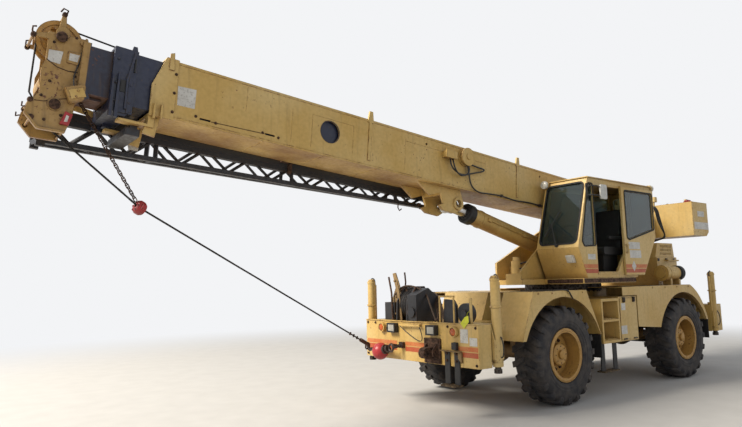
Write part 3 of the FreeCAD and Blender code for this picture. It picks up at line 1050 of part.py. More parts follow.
def sheave_group(centre, offsets, radius, holes):
    """Grooved sheaves on one hub, with a thin web and lightening holes."""
    bore, hub, half = SHEAVE_SHAFT_RADIUS + SEAT, 75, 20
    rim = radius - 42
    path = [(bore, -half), (hub, -half), (hub, -8), (rim, -8), (rim, -half), (radius, -half), (radius - 22, 0),
            (radius, half), (rim, half), (rim, 8), (hub, 8), (hub, half), (bore, half)]
    middle = (hub + rim) / 2
    discs = []
    for offset in offsets:
        disc = turned_y(path, centre[0], offset, centre[1])
        turns = [2 * pi * count / holes for count in range(holes)]
        disc = disc.cut([rod_y(centre[0] + middle * cos(turn), centre[1] + middle * sin(turn), HOLE_RADIUS,
                               offset - 9, offset + 9) for turn in turns])
        discs.append(disc)
    spacer = turned_y([(bore, offsets[0]), (62, offsets[0]), (62, offsets[-1]), (bore, offsets[-1])], centre[0], 0, centre[1])
    return boom_place(joined(discs, spacer))


# The stowed jib's chords: y and v at the base end, y and v at the tip end, half width, half height
JIB_BASE_U, JIB_TIP_U, JIB_BAYS = 9050, 3300, 10
JIB_CHORDS = {"near_low": (-400, -478, -400, -338, 26, 26), "far_low": (-800, -425, -590, -300, 24, 24),
              "near_high": (-425, -205, -425, -190, 40, 72), "far_high": (-800, -150, -590, -120, 30, 30)}
JIB_FACES = (("near_low", "near_high"), ("near_low", "far_low"), ("far_low", "far_high"), ("near_high", "far_high"))


def jib_lattice():
    """The swing-away extension, stowed along the right side: four tapering chords with lacing and its stowing brackets."""
    def at(name, share):
        y0, v0, y1, v1 = JIB_CHORDS[name][:4]
        return V(JIB_BASE_U + (JIB_TIP_U - JIB_BASE_U) * share, y0 + (y1 - y0) * share, v0 + (v1 - v0) * share)

    def chord(name):
        half_y, half_v = JIB_CHORDS[name][4:]
        ends = []
        for share in (0, 1):
            middle = at(name, share)
            ends.append(Part.makePolygon([middle + V(0, y, v) for y, v in (
                (-half_y, -half_v), (half_y, -half_v), (half_y, half_v), (-half_y, half_v), (-half_y, -half_v))]))
        return Part.makeLoft(ends, True, True)

    def stay(start, end, half):
        """A square bar between two points of the lattice."""
        along = (end - start).normalize()
        side_way = along.cross(V(0.3, 0.5, 0.8)).normalize() * half
        up_way = along.cross(side_way).normalize() * half
        corners = [start + side_way + up_way, start + side_way - up_way, start - side_way - up_way,
                   start - side_way + up_way]
        return Part.Face(Part.makePolygon(corners + [corners[0]])).extrude(end - start)

    parts = [chord(name) for name in JIB_CHORDS]
    for first, second in JIB_FACES:
        for bay in range(JIB_BAYS):
            middle = (bay + 0.5) / JIB_BAYS
            parts.append(stay(at(second, bay / JIB_BAYS), at(first, middle), 13))
            parts.append(stay(at(first, middle), at(second, (bay + 1) / JIB_BAYS), 13))
    for share in (0, 0.2, 0.5, 0.8, 1):
        parts += [stay(at(first, share), at(second, share), 22) for first, second in JIB_FACES]
    half = BASE_WIDTH / 2
    hangers = []
    for u in JIB_HANGERS:
        hangers.append(box(u - 50, u + 50, -half - SEAT - 90, -half - SEAT, -120, 120))
        hangers.append(box(u - 50, u + 50, -465, -half - SEAT - 89, -140, -100))
    cross = box(8262, 8400, -430, 230, -405, -330)
    post = [box(8290, 8360, y, y + 50, -331, -302) for y in (130, 180)]
    ends = [box(JIB_BASE_U - 60, JIB_BASE_U + 20, y - 30, y + 30, v - 60, v + 60)
            for y, v in ((-400, -478), (-800, -425), (-800, -150))]
    return boom_place(joined(parts, hangers, cross, post, ends))


def cable_reel():
    """The length sensor's reel and the junction box ahead of it, on the base section's left side."""
    half = BASE_WIDTH / 2
    reel = turned_y([(0, SEAT), (130, SEAT), (130, 12), (95, 14), (95, 68), (130, 70), (130, 82), (40, 84), (40, 96), (0, 96)],
                    3790, half, 300)
    boxed = box(4040, 4230, half + SEAT, half + 95, 215, 305)
    lid = box(4032, 4238, half + 80, half + 104, 207, 313)
    foot = box(3880, 4060, half + SEAT, half + 10, 255, 285)
    return boom_place(joined(reel, boxed, lid, foot))


# Lift cylinder, drawn along its own axis from the lower pin
ROD_PIN = boom_point(*LIFT_PIN)
LIFT_ANGLE = degrees(atan2(ROD_PIN[1] - LIFT_FOOT[1], ROD_PIN[0] - LIFT_FOOT[0]))
LIFT_LENGTH = hypot(ROD_PIN[0] - LIFT_FOOT[0], ROD_PIN[1] - LIFT_FOOT[1])


def lift_place(shape):
    placed = shape.copy()
    placed.rotate(V(0, 0, 0), V(0, 1, 0), -LIFT_ANGLE)
    placed.translate(V(LIFT_FOOT[0], 0, LIFT_FOOT[1]))
    return placed


def lift_barrel():
    """Barrel with its gland, eye, port blocks and the hard pipe along each side."""
    barrel = rod_x(0, 0, LIFT_BARREL_RADIUS, 60, LIFT_BARREL_LENGTH)
    rings = [rod_x(0, 0, LIFT_BARREL_RADIUS + grow, LIFT_BARREL_LENGTH - back, LIFT_BARREL_LENGTH - back + length)
             for grow, back, length in ((14, 110, 110), (8, 320, 40), (8, 2150, 60))]
    bore = rod_x(0, 0, LIFT_ROD_RADIUS + SEAT, 200, LIFT_BARREL_LENGTH + 1)
    eye = rod_y(0, 0, 120, -110, 110)
    pin_hole = rod_y(0, 0, LIFT_PIN_RADIUS + SEAT, -120, 120)
    pipes = []
    for _, side in SIDES:
        y = side * (LIFT_BARREL_RADIUS + 16)
        pipes.append(rod_x(y, 0, 11, 330, LIFT_BARREL_LENGTH - 380))
        pipes += [box(x, x + 60, side * (LIFT_BARREL_RADIUS - 20), side * (LIFT_BARREL_RADIUS + 34), -28, 28)
                  for x in (300, 1150, LIFT_BARREL_LENGTH - 420)]
    return lift_place(joined(barrel, rings, eye, pipes).cut(bore).cut(pin_hole))


def lift_rod():
    rod = rod_x(0, 0, LIFT_ROD_RADIUS, 460, LIFT_LENGTH - 40)
    eye = rod_y(LIFT_LENGTH, 0, 108, -80, 80)
    pin = rod_y(LIFT_LENGTH, 0, LIFT_EYE_PIN_RADIUS, -150, 150)
    return lift_place(joined(rod, eye, pin))


def build():
    os.makedirs("parts", exist_ok=True)
    nodes = {
        "chassis_frame": chassis_frame(), "slew_ring": slew_ring(),
        "front_outrigger_box": outrigger_box("front"), "rear_outrigger_box": outrigger_box("rear"),
        "front_fenders": apart([front_fender(side) for _, side in SIDES]),
        "rear_fenders": apart([rear_fender(side) for _, side in SIDES]),
        "carrier_decks": carrier_decks(), "engine_hood": engine_hood(), "engine_block": engine_block(),
        "air_cleaner": air_cleaner(), "left_step_boxes": left_boxes(), "right_tanks": right_tanks(),
        "hanging_steps": hanging_steps(), "driveline": driveline(), "front_lamps": front_lamps(),
        "rear_lamps": rear_lamps(), "tow_pintle": tow_pintle(), "hook_block": hook_block(), "hook_ball": hook_ball(),
        "grab_rails": grab_rails(), "turret_frame": turret_frame(), "counterweight": counterweight(),
        "hoist_drum": hoist_drum(), "machinery_cover": machinery_cover(), "cab_shell": cab_shell(),
        "cab_glass": cab_glass(), "cab_interior": cab_interior(), "cab_door": cab_door(),
        "door_glass": door_glass(), "boom_base": boom_base(), "boom_mid": boom_mid(), "boom_fly": boom_fly(),
        "top_sheaves": sheave_group(TOP_SHEAVE, (-60, 60), SHEAVE_RADIUS, 6),
        "low_sheaves": sheave_group(LOW_SHEAVE, (-120, -40, 40, 120), LOW_SHEAVE_RADIUS, 5),
        "jib_lattice": jib_lattice(), "cable_reel": cable_reel(),
        "lift_barrel": lift_barrel(), "lift_rod": lift_rod(),
    }
    for axle_name, way in AXLES:
        nodes[f"{axle_name}_axle"] = axle(way)
        for side_name, side in SIDES:
            place = f"{axle_name}_{side_name}"
            nodes[f"{place}_knuckle"] = knuckle(way, side)
            nodes[f"{place}_rim"] = rim(way, side)
            nodes[f"{place}_tyre"] = tyre(way, side)
            nodes[f"{place}_beam"] = outrigger_beam(axle_name, side_name, side)
            nodes[f"{place}_jack_rod"] = jack_rod(axle_name, side_name, side)
    for name, shape in nodes.items():
        save(name, shape)
    return nodes


NODES = build()
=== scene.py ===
import bmesh
import bpy
import json
from math import cos, hypot, pi, radians, sin, tan
from mathutils import Matrix, Vector


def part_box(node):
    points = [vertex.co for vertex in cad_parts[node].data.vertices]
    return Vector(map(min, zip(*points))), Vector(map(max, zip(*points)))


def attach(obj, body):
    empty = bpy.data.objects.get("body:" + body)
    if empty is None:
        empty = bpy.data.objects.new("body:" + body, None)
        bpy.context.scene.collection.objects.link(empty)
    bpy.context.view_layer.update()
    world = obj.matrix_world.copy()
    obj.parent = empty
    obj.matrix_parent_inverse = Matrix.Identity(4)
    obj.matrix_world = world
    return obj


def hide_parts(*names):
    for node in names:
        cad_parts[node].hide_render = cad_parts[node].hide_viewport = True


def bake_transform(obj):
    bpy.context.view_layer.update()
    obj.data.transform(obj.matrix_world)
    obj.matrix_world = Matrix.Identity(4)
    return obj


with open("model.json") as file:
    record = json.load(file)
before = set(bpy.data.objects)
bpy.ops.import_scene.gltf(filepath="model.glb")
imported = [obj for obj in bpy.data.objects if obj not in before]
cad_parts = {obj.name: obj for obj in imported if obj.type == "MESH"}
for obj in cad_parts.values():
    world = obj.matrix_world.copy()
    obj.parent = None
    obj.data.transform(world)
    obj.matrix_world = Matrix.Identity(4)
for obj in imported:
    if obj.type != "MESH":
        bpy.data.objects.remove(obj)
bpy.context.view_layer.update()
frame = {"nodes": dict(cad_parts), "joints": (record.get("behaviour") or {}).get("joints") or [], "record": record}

# Lengths are metres. The crane is drawn from the middle of its wheelbase: X forward, Y to the cab, Z up.
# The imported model's own origin lies further forward, under the middle of its length.
LUFF_PIVOT = Vector((-1.15, 0, 2.8))
BOOM_ANGLE = radians(5.4)
LUFF = next(joint for joint in frame["joints"] if joint["name"] == "boom_luff")
MACHINE = Matrix.Translation(Vector((LUFF["pos_m"][0] - LUFF_PIVOT.x, 0, 0)))
# Along the boom: X from its foot pin to its head, Y to the cab, Z away from its underside
BOOM = MACHINE @ Matrix.Translation(LUFF_PIVOT) @ Matrix.Rotation(-BOOM_ANGLE, 4, "Y")
SIDES = (("left", 1), ("right", -1))
# The bodies that most pieces ride
CARRIER, TURRET, DOOR = "carrier", "superstructure", "cab_door"
BASE, MID, FLY = "boom_base", "boom_mid", "boom_fly"


# Camera, solved from the photograph
FOCAL_PX = 601.54
PICTURE_WIDTH_PX = 742
CAMERA_AT = Vector((8.847, 6.222, 1.677))
YAW, PITCH, ROLL = radians(142.50), radians(6.73), radians(-1.30)


def aim_camera():
    data = bpy.data.cameras.new("camera")
    data.sensor_width = 36
    data.lens = FOCAL_PX / PICTURE_WIDTH_PX * data.sensor_width
    data.clip_end = 300
    camera = bpy.data.objects.new("camera", data)
    bpy.context.collection.objects.link(camera)
    bpy.context.scene.camera = camera
    forward = Vector((-sin(YAW) * cos(PITCH), cos(YAW) * cos(PITCH), sin(PITCH)))
    right = Vector((cos(YAW), sin(YAW), 0))
    up = right.cross(forward)
    turned_right = right * cos(ROLL) + up * sin(ROLL)
    turned_up = up * cos(ROLL) - right * sin(ROLL)
    turn = Matrix((turned_right, turned_up, -forward)).transposed().to_4x4()
    camera.matrix_world = MACHINE @ Matrix.Translation(CAMERA_AT) @ turn


aim_camera()


# Colours and materials
def linear(code):
    """An sRGB hex colour as linear values, opaque."""
    parts = [int(code[i:i + 2], 16) / 255 for i in (1, 3, 5)]
    return tuple(c / 12.92 if c <= 0.04045 else ((c + 0.055) / 1.055) ** 2.4 for c in parts) + (1.0,)


def add(material, kind, links=None, **settings):
    """Adds a node; links gives each named input a value, or the output of another node."""
    node = material.node_tree.nodes.new(kind)
    for name, value in settings.items():
        setattr(node, name, value)
    for name, value in (links or {}).items():
        if isinstance(value, bpy.types.NodeSocket):
            material.node_tree.links.new(value, node.inputs[name])
        else:
            node.inputs[name].default_value = value
    return node


def new_material(name, roughness, metallic=0.0, **sockets):
    material = bpy.data.materials.new(name)
    material.use_nodes = True
    shader = material.node_tree.nodes["Principled BSDF"]
    shader.inputs["Roughness"].default_value = roughness
    shader.inputs["Metallic"].default_value = metallic
    for socket, value in sockets.items():
        shader.inputs[socket.replace("_", " ")].default_value = value
    return material, shader


def spot(material):
    """The place on the piece itself, so that marks stay on it as it moves."""
    return add(material, "ShaderNodeTexCoord").outputs["Object"]


def patches(material, size, low, high, scale=(1, 1, 1), detail=4.0):
    """Blotches of about the given size in metres, from 0 below low to 1 above high."""
    where = add(material, "ShaderNodeMapping", {"Vector": spot(material), "Scale": scale}).outputs["Vector"]
    noise = add(material, "ShaderNodeTexNoise", {"Vector": where, "Scale": 1 / size, "Detail": detail})
    return ramp(material, noise.outputs["Fac"], low, high)


def ramp(material, value, low, high, start=0.0, end=1.0):
    return add(material, "ShaderNodeMapRange", {"Value": value, "From Min": low, "From Max": high,
                                                "To Min": start, "To Max": end}).outputs["Result"]


def blend(material, share, below, above):
    """One colour below, the other above, by a share from 0 to 1."""
    return add(material, "ShaderNodeMix", {"Factor": share, "A": below, "B": above},
               data_type="RGBA").outputs["Result"]


def maths(material, operation, first, second):
    return add(material, "ShaderNodeMath", {0: first, 1: second}, operation=operation).outputs["Value"]


# How far one colour takes to turn into the other where a mask ends
EDGE = 0.004


def behind(material, point, way):
    """1 on the side of a plane that way points away from, 0 beyond it."""
    offset = add(material, "ShaderNodeVectorMath", {0: spot(material), 1: point}, operation="SUBTRACT")
    depth = add(material, "ShaderNodeVectorMath", {0: offset.outputs["Vector"], 1: way},
                operation="DOT_PRODUCT")
    return ramp(material, depth.outputs["Value"], EDGE, -EDGE)


def outside(material, middle, radius):
    """1 outside a ball, 0 inside it."""
    offset = add(material, "ShaderNodeVectorMath", {0: spot(material), 1: middle}, operation="DISTANCE")
    return ramp(material, offset.outputs["Value"], radius, radius + EDGE)


def enamel(name, fresh, faded, dirt, rust, under="", wear=0.3, corner_shade=0.6, roughness=0.45, chips=0.66,
           other=None):
    """Sprayed enamel that has stood out of doors.

    It bleaches in wide patches, dirt runs down it in thin streaks, painted shade in the dirt colour darkens its
    corners and hollows, its undersides are browned in patches by painted shade together with mud and oil, and it
    rusts where it has chipped along the edges. wear is how strong the streaks are, corner_shade how strong the
    painted shade in the corners, and chips the level of noise above which it has chipped. other gives a mask, what
    the mask takes, and the second colour, which stands where the mask is 1."""
    material, shader = new_material(name, roughness)
    colour = blend(material, patches(material, 0.8, 0.38, 0.66), linear(fresh), linear(faded))
    if other:
        place, *where, second = other
        colour = blend(material, place(material, *where), colour, linear(second))
    fine = patches(material, 0.04, 0.35, 0.75)
    colour = blend(material, maths(material, "MULTIPLY", fine, 0.16), colour, linear(dirt))
    streaks = patches(material, 0.05, 0.56, 0.8, scale=(1, 1, 0.09))
    colour = blend(material, maths(material, "MULTIPLY", streaks, wear), colour, linear(dirt))
    normal = add(material, "ShaderNodeNewGeometry").outputs["Normal"]
    up = add(material, "ShaderNodeSeparateXYZ", {"Vector": normal}).outputs["Z"]
    # Painted shade together with mud and oil: faces that point downwards are browned in patches
    underside_shade_and_mud = maths(material, "MULTIPLY", ramp(material, up, -0.25, -0.9), patches(material, 0.5, 0.2, 0.6))
    colour = blend(material, maths(material, "MULTIPLY", underside_shade_and_mud, 0.8), colour, linear(under or dirt))
    # Painted shade: an ambient occlusion mask darkens corners and hollows in the dirt colour
    occluded = add(material, "ShaderNodeAmbientOcclusion", {"Distance": 0.12}, samples=4).outputs["AO"]
    corner = maths(material, "MULTIPLY", ramp(material, occluded, 0.7, 0.2), corner_shade)
    colour = blend(material, corner, colour, linear(dirt))
    edge = add(material, "ShaderNodeBevel", {"Radius": 0.012}, samples=3).outputs["Normal"]
    same = add(material, "ShaderNodeVectorMath", {0: edge, 1: normal}, operation="DOT_PRODUCT").outputs["Value"]
    rubbed = maths(material, "MULTIPLY", ramp(material, same, 0.99, 0.9),
                   patches(material, 0.09, 0.5, 0.56, detail=6))
    chipped = maths(material, "MULTIPLY", patches(material, 0.03, chips, chips + 0.03, detail=6.0),
                    patches(material, 0.4, 0.48, 0.6))
    colour = blend(material, maths(material, "MAXIMUM", rubbed, chipped), colour, linear(rust))
    link = material.node_tree.links.new
    link(colour, shader.inputs["Base Color"])
    link(ramp(material, fine, 0, 1, roughness - 0.08, roughness + 0.2), shader.inputs["Roughness"])
    pebble = patches(material, 0.012, 0.3, 0.7)
    bump = add(material, "ShaderNodeBump", {"Height": pebble, "Strength": 0.1, "Distance": 0.001})
    soft = add(material, "ShaderNodeBevel", {"Radius": 0.005, "Normal": bump.outputs["Normal"]}, samples=3)
    link(soft.outputs["Normal"], shader.inputs["Normal"])
    return material


def metal(name, bright, dark, roughness, size, metallic=1.0, depth=0.0004):
    """Bare or greasy metal with patches of a darker film, rougher where the film is."""
    material, shader = new_material(name, roughness, metallic)
    share = patches(material, size, 0.38, 0.64)
    link = material.node_tree.links.new
    link(blend(material, share, linear(bright), linear(dark)), shader.inputs["Base Color"])
    link(ramp(material, share, 0, 1, roughness, min(1.0, roughness + 0.25)), shader.inputs["Roughness"])
    bump = add(material, "ShaderNodeBump", {"Height": share, "Strength": 0.3, "Distance": depth})
    link(bump.outputs["Normal"], shader.inputs["Normal"])
    return material


def rubber(name, black, dusty, amount, size, roughness=0.8, grain=0.008):
    """Moulded rubber or plastic, grey-brown where dust has settled and been rubbed in."""
    material, shader = new_material(name, roughness)
    share = maths(material, "MULTIPLY", patches(material, size, 0.35, 0.7), amount)
    link = material.node_tree.links.new
    link(blend(material, share, linear(black), linear(dusty)), shader.inputs["Base Color"])
    bump = add(material, "ShaderNodeBump", {"Height": patches(material, grain, 0.3, 0.7), "Strength": 0.35,
                                            "Distance": 0.0008})
    link(bump.outputs["Normal"], shader.inputs["Normal"])
    return material


def glazing(name, tint, dusty, transmission, roughness, sheen=0.5):
    """Clear or tinted glass with a thin uneven film of dust on it."""
    material, shader = new_material(name, roughness, IOR=1.52, Transmission_Weight=transmission,
                                    Specular_IOR_Level=sheen)
    colour = blend(material, patches(material, 0.25, 0.4, 0.75), linear(tint), linear(dusty))
    material.node_tree.links.new(colour, shader.inputs["Base Color"])
    bump = add(material, "ShaderNodeBump", {"Height": patches(material, 0.3, 0.3, 0.7), "Strength": 0.1,
                                            "Distance": 0.002})
    material.node_tree.links.new(bump.outputs["Normal"], shader.inputs["Normal"])
    return material


def film(name, colour, worn, dirt, roughness=0.5):
    """Printed film or a coated tin plate: even colour that has chalked, with dirt rubbed into it."""
    material, shader = new_material(name, roughness)
    shade = blend(material, patches(material, 0.15, 0.35, 0.7), linear(colour), linear(worn))
    marks = maths(material, "MULTIPLY", patches(material, 0.02, 0.55, 0.7, detail=6), 0.5)
    material.node_tree.links.new(blend(material, marks, shade, linear(dirt)), shader.inputs["Base Color"])
    bump = add(material, "ShaderNodeBump", {"Height": marks, "Strength": 0.15, "Distance": 0.0003})
    material.node_tree.links.new(bump.outputs["Normal"], shader.inputs["Normal"])
    return material


HEAD_START = BOOM @ Vector((8.81, 0, 0))
BOOM_WAY = BOOM.to_3x3() @ Vector((1, 0, 0))
BALL_MIDDLE = MACHINE @ Vector((3.5, -0.6, 0.74))

# Alkyd enamel, sprayed: a warm pale yellow, chalky where the sun has bleached it, browned underneath with oil and
# with painted shade
BODY = enamel("weathered_yellow_enamel", "#CDA95E", "#D8BB7C", "#6B5333", "#6E3F22", under="#7A5230")
# The same enamel at the boom head, where water and rope grease have taken more of it off
HEAD = enamel("rusting_yellow_enamel", "#A9854A", "#B6955C", "#5A4329", "#5E3620", under="#6B4428", wear=0.6,
              corner_shade=0.8, chips=0.6, other=(behind, HEAD_START, BOOM_WAY, "#161D33"))
# Brushed enamel on axles and wheels: duller and rougher under dried mud
UNDER = enamel("muddy_axle_enamel", "#7F6640", "#957A50", "#4F4030", "#4E3424", wear=0.5, roughness=0.7)
# Rims and boom sheaves: deeper ochre than the body, rust along the bead
RIM = enamel("ochre_wheel_enamel", "#B98C43", "#C49A55", "#5F4A2C", "#6A4022", wear=0.5, corner_shade=0.8,
             chips=0.62)
# Two-pack enamel on the inner sections: blue-black, faintly glossy, dust on its ledges
DARK = enamel("blue_black_enamel", "#131A31", "#1B2440", "#2B2C33", "#3E3128", wear=0.25, corner_shade=0.4,
              roughness=0.38)
# Black enamel on the lattice: soft sheen, brown where the primer shows
BLACK = enamel("black_lattice_enamel", "#191A1F", "#26282F", "#38322C", "#4A3326", wear=0.4, roughness=0.48)
# Red gloss enamel on the ball, its fittings left as dark forged steel
RED = enamel("chipped_red_enamel", "#A81E22", "#B8373A", "#4A2420", "#3E2620", wear=0.3, roughness=0.35,
             other=(outside, BALL_MIDDLE, 0.1185, "#33261F"))
# The same red where it covers the whole casting: the line's weight and the switch block
SIGNAL = enamel("signal_red_enamel", "#A81E22", "#B03034", "#4A2420", "#3E2620", wear=0.4, roughness=0.4)
# Cast steel, rusted even brown: matt, with darker pits
RUSTY = metal("rusty_cast_steel", "#5A4030", "#33261F", 0.75, metallic=0.3, size=0.03)
# Turned steel under old grease: dark with a wet edge
STEEL = metal("greased_steel", "#57504A", "#2C2622", 0.45, metallic=0.8, size=0.04)
# Hard chrome plate, ground: a clean mirror with long faint bands
CHROME = metal("hard_chrome_plate", "#C9CACC", "#A8A49C", 0.12, size=0.08, depth=0.0001)
# Grey iron with a thin coat of dark paint: dry and granular
IRON = metal("painted_cast_iron", "#3A3B38", "#211F1C", 0.6, metallic=0.2, size=0.05)
# Tread plate worn by boots: brown paint gone to steel in patches
TREAD = metal("worn_tread_steel", "#6B5A42", "#3C3022", 0.65, metallic=0.4, size=0.03)
# Stranded wire rope under black dressing: dark, dull, a little oily
ROPE = metal("dressed_wire_rope", "#34302C", "#1D1B1A", 0.5, metallic=0.5, size=0.01)
# Natural rubber tread compound: near black, grey-brown dust in the grooves
TYRE = rubber("dusty_tyre_rubber", "#222226", "#57504A", 0.7, 0.12)
# Pressed black vinyl and injection-moulded plastic: low sheen, fine leather grain
TRIM = rubber("black_vinyl_trim", "#1B1B1C", "#34322F", 0.4, 0.06, roughness=0.6)
# Extruded window rubber: matt black line round each pane
GASKET = rubber("black_window_rubber", "#121314", "#2A2927", 0.3, 0.05)
# Braided hydraulic hose: smooth synthetic cover, scuffed grey
HOSE = rubber("hydraulic_hose_rubber", "#18181A", "#3C3833", 0.5, 0.04, roughness=0.55, grain=0.004)
# Hoses left out in the sun for years: their rubber has gone brown and dry
OLD_HOSE = rubber("sun_browned_hose_rubber", "#3A2C22", "#6B5542", 0.5, 0.04, roughness=0.75, grain=0.004)
# Float glass, green in its body, tempered: dark against the cab, with a soft dust film
GLASS = glazing("green_safety_glass", "#728A8C", "#7E8E8C", transmission=0.92, roughness=0.01, sheen=0.3)
# Pressed lens glass, ribbed and clear
LENS = glazing("ribbed_lens_glass", "#E6E4DC", "#C9C4B4", transmission=0.35, roughness=0.12)
# Moulded acrylic lenses, coloured right through
AMBER = glazing("amber_acrylic_lens", "#D9691C", "#B5551E", transmission=0.3, roughness=0.15)
RUBY = glazing("red_acrylic_lens", "#A01818", "#7E1A18", transmission=0.3, roughness=0.15)
# Silvered mirror glass
MIRROR = metal("silvered_mirror_glass", "#B9C0C4", "#9AA2A6", 0.05, size=0.2, depth=0.00005)
# Blank tin plates with baked white enamel, chalking
PLATE = film("blank_white_plate", "#DAD8D2", "#BEBBB4", "#7C7264")
# Orange stripe film in its two tones, bleached towards the edges
STRIPE = film("orange_stripe_film", "#C46A33", "#CB8550", "#7A4A2A")
DEEP_STRIPE = film("deep_orange_stripe_film", "#B04A26", "#B9653E", "#6E3E26")
# A plastic tag, bright fluorescent yellow
TAG = film("fluorescent_plastic_tag", "#DCE02A", "#C8CC34", "#8E8A3A", roughness=0.4)
# White moulded plastic on the mirror and lamp housings
SHELL = film("white_moulded_plastic", "#D5D5D0", "#BDBCB4", "#8A857A", roughness=0.4)

FINISHES = {"body_paint": BODY, "section_paint": DARK, "head_paint": HEAD, "jib_paint": BLACK,
            "tyre_rubber": TYRE, "axle_paint": UNDER, "bearing_steel": STEEL, "chromed_rod": CHROME,
            "engine_paint": IRON, "step_steel": TREAD, "lamp_glass": LENS, "worn_steel": RUSTY,
            "block_paint": BLACK, "ball_paint": RED, "window_glass": GLASS, "cab_trim": TRIM}
# Finishes that the record doesn't name, under the slot that each belongs to
OTHERS = {"body_paint": (RIM, PLATE, STRIPE, DEEP_STRIPE, TAG), "ball_paint": (SIGNAL,), "worn_steel": (ROPE,),
          "cab_trim": (GASKET, HOSE, OLD_HOSE, SHELL), "lamp_glass": (AMBER, RUBY, MIRROR)}
SLOT_OF = {finish.name: slot for slot, finish in FINISHES.items()}
SLOT_OF |= {finish.name: slot for slot, finishes in OTHERS.items() for finish in finishes}


def dress_solids():
    for part in frame["record"]["subparts"]:
        node = part["node"]
        finish = FINISHES[part["material_slot"]]
        if node.endswith(("_rim", "_sheaves")):
            finish = RIM
        elif node in ("front_lamps", "rear_lamps"):
            finish = TRIM
        elif node.endswith("_jack_rod"):
            finish = STEEL
        solid = frame["nodes"][node]
        solid.data.materials.clear()
        solid.data.materials.append(finish)


dress_solids()


# Shapes: each is its points and its faces
AXES = {"X": lambda along, a, b: (along, a, b), "Y": lambda along, a, b: (a, along, b),
        "Z": lambda along, a, b: (a, b, along)}
ORIGIN = (0, 0, 0)
ARC_STEPS = 5


def circle(count, radius):
    """Points evenly round a circle."""
    return [(radius * cos(2 * pi * step / count), radius * sin(2 * pi * step / count)) for step in range(count)]


def square(low_a, high_a, low_b, high_b):
    return [(low_a, low_b), (high_a, low_b), (high_a, high_b), (low_a, high_b)]


def block(x0, x1, y0, y1, z0, z1):
    points = [(x, y, z) for x in (x0, x1) for y in (y0, y1) for z in (z0, z1)]
    return points, [(0, 1, 3, 2), (4, 6, 7, 5), (0, 4, 5, 1), (2, 3, 7, 6), (0, 2, 6, 4), (1, 5, 7, 3)]


def plate(outline, near, far, axis="Y"):
    """An outline, drawn square to the axis, given thickness along it."""
    count = len(outline)
    points = [AXES[axis](depth, a, b) for depth in (near, far) for a, b in outline]
    faces = [tuple(range(count)), tuple(range(count, 2 * count))]
    faces += [(i, (i + 1) % count, count + (i + 1) % count, count + i) for i in range(count)]
    return points, faces


def turned(profile, centre, axis, sides, ring=False):
    """A profile of (radius, distance along the axis) turned about it; ring joins the profile's two ends."""
    count = len(profile)
    points, faces = [], []
    for turn in range(sides):
        angle = 2 * pi * turn / sides
        for radius, along in profile:
            offset = AXES[axis](along, radius * cos(angle), radius * sin(angle))
            points.append(tuple(c + o for c, o in zip(centre, offset)))
        here, there = turn * count, (turn + 1) % sides * count
        for step in range(count if ring else count - 1):
            after = (step + 1) % count
            faces.append((here + step, there + step, there + after, here + after))
    if not ring:
        faces += [tuple(range(end, sides * count, count)) for end in (0, count - 1)]
    return points, faces


def rod(path, radius, sides, closed=False):
    """A round bar along a line of points."""
    path = [Vector(point) for point in path]
    last = len(path) - 1
    points, faces = [], []
    across = None
    for number, point in enumerate(path):
        before = path[number - 1] if number or closed else point
        after = path[(number + 1) % len(path)] if number < last or closed else point
        along = (after - before).normalized()
        across = along.orthogonal() if across is None else across - along * across.dot(along)
        across.normalize()
        other = along.cross(across)
        for turn in range(sides):
            angle = 2 * pi * turn / sides
            points.append(tuple(point + (across * cos(angle) + other * sin(angle)) * radius))
    for number in range(len(path) if closed else last):
        here, there = number * sides, (number + 1) % len(path) * sides
        faces += [(here + turn, here + (turn + 1) % sides, there + (turn + 1) % sides, there + turn)
                  for turn in range(sides)]
    if not closed:
        faces += [tuple(range(sides)), tuple(range(last * sides, (last + 1) * sides))]
    return points, faces


def joined(*shapes):
    points, faces = [], []
    for new_points, new_faces in shapes:
        start = len(points)
        points += new_points
        faces += [tuple(start + corner for corner in face) for face in new_faces]
    return points, faces


def moved(shape, place, turn=(1, 1, 1)):
    """A shape drawn about the origin, put in its place; -1 in turn has it face the other way on that axis."""
    return [tuple(at + way * value for at, way, value in zip(place, turn, point))
            for point in shape[0]], shape[1]


def both_sides(shape):
    """A shape and its mirror image on the other side of the machine."""
    return joined(shape, moved(shape, ORIGIN, (1, -1, 1)))


def bolts(places, axis, way, size):
    """Hexagon heads on washers, standing out from a face; size is the washer's radius."""
    heads = []
    for place in places:
        heads.append(turned([(size, 0), (size, way * size * 0.2)], place, axis, 12))
        head = [(size * 0.75, 0), (size * 0.75, way * size * 0.8), (size * 0.6, way * size * 0.95)]
        heads.append(turned(head, place, axis, 6))
    return joined(*heads)


def grown(corners, distance):
    """A convex outline moved outwards by a distance, its corners kept in order."""
    centre_a = sum(a for a, _ in corners) / len(corners)
    centre_b = sum(b for _, b in corners) / len(corners)
    lines = []
    for (a0, b0), (a1, b1) in zip(corners, corners[1:] + corners[:1]):
        length = hypot(a1 - a0, b1 - b0)
        na, nb = (b1 - b0) / length, (a0 - a1) / length
        reach = na * a0 + nb * b0
        if na * centre_a + nb * centre_b > reach:
            na, nb, reach = -na, -nb, -reach
        lines.append((na, nb, reach + distance))
    outline = []
    for (na, nb, r), (ma, mb, s) in zip(lines[-1:] + lines[:-1], lines):
        cross = na * mb - nb * ma
        outline.append(((r * mb - s * nb) / cross, (na * s - ma * r) / cross))
    return outline


